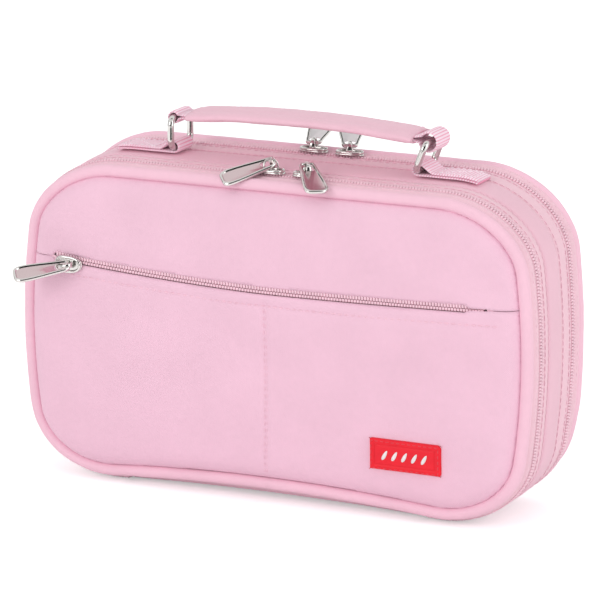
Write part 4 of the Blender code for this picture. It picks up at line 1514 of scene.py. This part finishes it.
sleeve()
for row, y in enumerate((-0.0052, 0.0088)):
    path = []
    norm = []
    for t in np.linspace(0.072, 0.934, 120):
        c = grip(t)
        slope = grip(t + 0.01) - grip(t - 0.01)
        slope /= np.linalg.norm(slope)
        drop = 0.0024 * (1 - 0.22 * (y / 0.01) ** 2) - (0.0006 if row == 0 else 0.0004)
        path.append((c[0] - slope[1] * drop, y, c[1] + slope[0] * drop))
        norm.append((-slope[1], 0.0, slope[0]))
    thread = stitches("stitch_handle_%d" % row, path, norm, THREAD, 0.0019, 0.0008, 0.00024)
    rides(thread, "handle", "canvas")

# Zip stops of the pocket

for side, sign in (("left", -1), ("right", 1)):
    low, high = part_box("pocket_stop_" + side)
    low.y = max(low.y, -0.0301)
    stop = bar_box("pocket_end_" + side, low, high, COIL_STUFF, 0.0003)
    rides(stop, "front_cover", "zip_coil", "pocket_stop_" + side)

# Floor, light and camera


def card(name, wide, tall, stuff):
    """A flat sheet that reaches wide and tall to each side of its middle."""
    corners = [(-wide, -tall, 0), (wide, -tall, 0), (wide, tall, 0), (-wide, tall, 0)]
    return add_mesh(name, corners, [(0, 1, 2, 3)], stuff, flat=True)


def stage_stuff():
    """A pale floor that looks lit to the camera and in reflections, but lights nothing itself."""
    n = Nodes("floor", (0.94, 0.94, 0.94), 0.9)
    spot = n.add("ShaderNodeTexCoord")
    tone = n.add("ShaderNodeTexNoise", Scale=3.0, Detail=2.0, Roughness=0.5)
    n.link(spot.outputs["Object"], tone.inputs["Vector"])
    greys = [(0.3, (0.935, 0.935, 0.935)), (0.7, (0.945, 0.945, 0.945))]
    n.link(n.ramp(tone.outputs["Fac"], greys), n.shader.inputs["Base Color"])
    rays = n.add("ShaderNodeLightPath")
    shown = n.math("MAXIMUM", rays.outputs["Is Camera Ray"], rays.outputs["Is Glossy Ray"])
    shown = n.math("MAXIMUM", shown, rays.outputs["Is Transmission Ray"])
    n.shader.inputs["Emission Color"].default_value = (1.0, 1.0, 1.0, 1.0)
    n.link(n.math("MULTIPLY", shown, 0.38), n.shader.inputs["Emission Strength"])
    return n.stuff


floor = card("floor", 6, 6, stage_stuff())

scene = bpy.context.scene
world = bpy.data.worlds.new("studio")
scene.world = world
world.use_nodes = True
tree = world.node_tree
back_light = tree.nodes["Background"]
path_node = tree.nodes.new("ShaderNodeLightPath")
seen = tree.nodes.new("ShaderNodeMath")
seen.operation = "MAXIMUM"
tree.links.new(path_node.outputs["Is Camera Ray"], seen.inputs[0])
tree.links.new(path_node.outputs["Is Glossy Ray"], seen.inputs[1])
more = tree.nodes.new("ShaderNodeMath")
more.operation = "MAXIMUM"
tree.links.new(seen.outputs[0], more.inputs[0])
tree.links.new(path_node.outputs["Is Transmission Ray"], more.inputs[1])
level = tree.nodes.new("ShaderNodeMapRange")
level.inputs["To Min"].default_value = 0.80
level.inputs["To Max"].default_value = 1.0
tree.links.new(more.outputs[0], level.inputs["Value"])
tree.links.new(level.outputs["Result"], back_light.inputs["Strength"])
back_light.inputs["Color"].default_value = (1.0, 1.0, 1.0, 1.0)


def lamp(name, place, target, size, power):
    data = bpy.data.lights.new(name, "AREA")
    data.shape = "RECTANGLE"
    data.size, data.size_y = size
    data.energy = power
    obj = bpy.data.objects.new(name, data)
    scene.collection.objects.link(obj)
    obj.location = place
    obj.rotation_mode = "QUATERNION"
    obj.rotation_quaternion = (Vector(target) - Vector(place)).to_track_quat("-Z", "Y")


MIDDLE = (0.0, 0.0, 0.07)
lamp("front_softbox", (-0.55, -1.5, 0.75), MIDDLE, (0.9, 0.7), 6.0)
lamp("right_card", (1.3, -0.3, 0.5), MIDDLE, (0.6, 0.8), 3.6)

FLAG = Nodes("flag", (0.02, 0.02, 0.02), 0.9).stuff
# Dark cards that only reflections see: place, then width and height
FLAGS = (
    ((0.0, 1.3, 1.1), (1.5, 0.7)),
    ((-1.6, 0.2, 0.35), (0.35, 0.9)),
    ((1.5, 0.9, 0.4), (0.3, 0.9)),
    ((0.9, -2.0, 0.75), (2.6, 2.0)),
    ((0.1, -0.5, 1.7), (1.4, 0.35)),
    ((-1.0, -1.1, 0.25), (0.25, 0.8)),
    ((0.19, -0.41, 0.045), (0.60, 0.075)),
)
for k, (place, size) in enumerate(FLAGS):
    flag = card("flag_%d" % k, size[0] / 2, size[1] / 2, FLAG)
    flag.rotation_mode = "QUATERNION"
    flag.rotation_quaternion = (Vector(place) - Vector(MIDDLE)).to_track_quat("Z", "Y")
    flag.location = place
    flag.visible_camera = False
    flag.visible_diffuse = False
    flag.visible_shadow = False

camera_data = bpy.data.cameras.new("camera")
camera_data.lens = 231.39
camera_data.sensor_width = 36.0
camera_data.clip_start = 0.05
camera_data.clip_end = 50.0
camera = bpy.data.objects.new("camera", camera_data)
scene.collection.objects.link(camera)
azimuth, elevation = math.radians(25.16), math.radians(14.48)
level_out = math.cos(elevation)
behind = Vector((math.sin(azimuth) * level_out, -math.cos(azimuth) * level_out, math.sin(elevation)))
right = Vector((math.cos(azimuth), math.sin(azimuth), 0.0))
upward = behind.cross(right)
look = (-behind + right * 0.0127 + upward * 0.01374).normalized()
side = look.cross(upward).normalized()
top = side.cross(look).normalized()
turned = Matrix((side, top, -look)).transposed().to_4x4()
camera.matrix_world = Matrix.Translation((0.6271, -1.3794, 0.4477)) @ turned
scene.camera = camera
scene.view_settings.view_transform = "Standard"
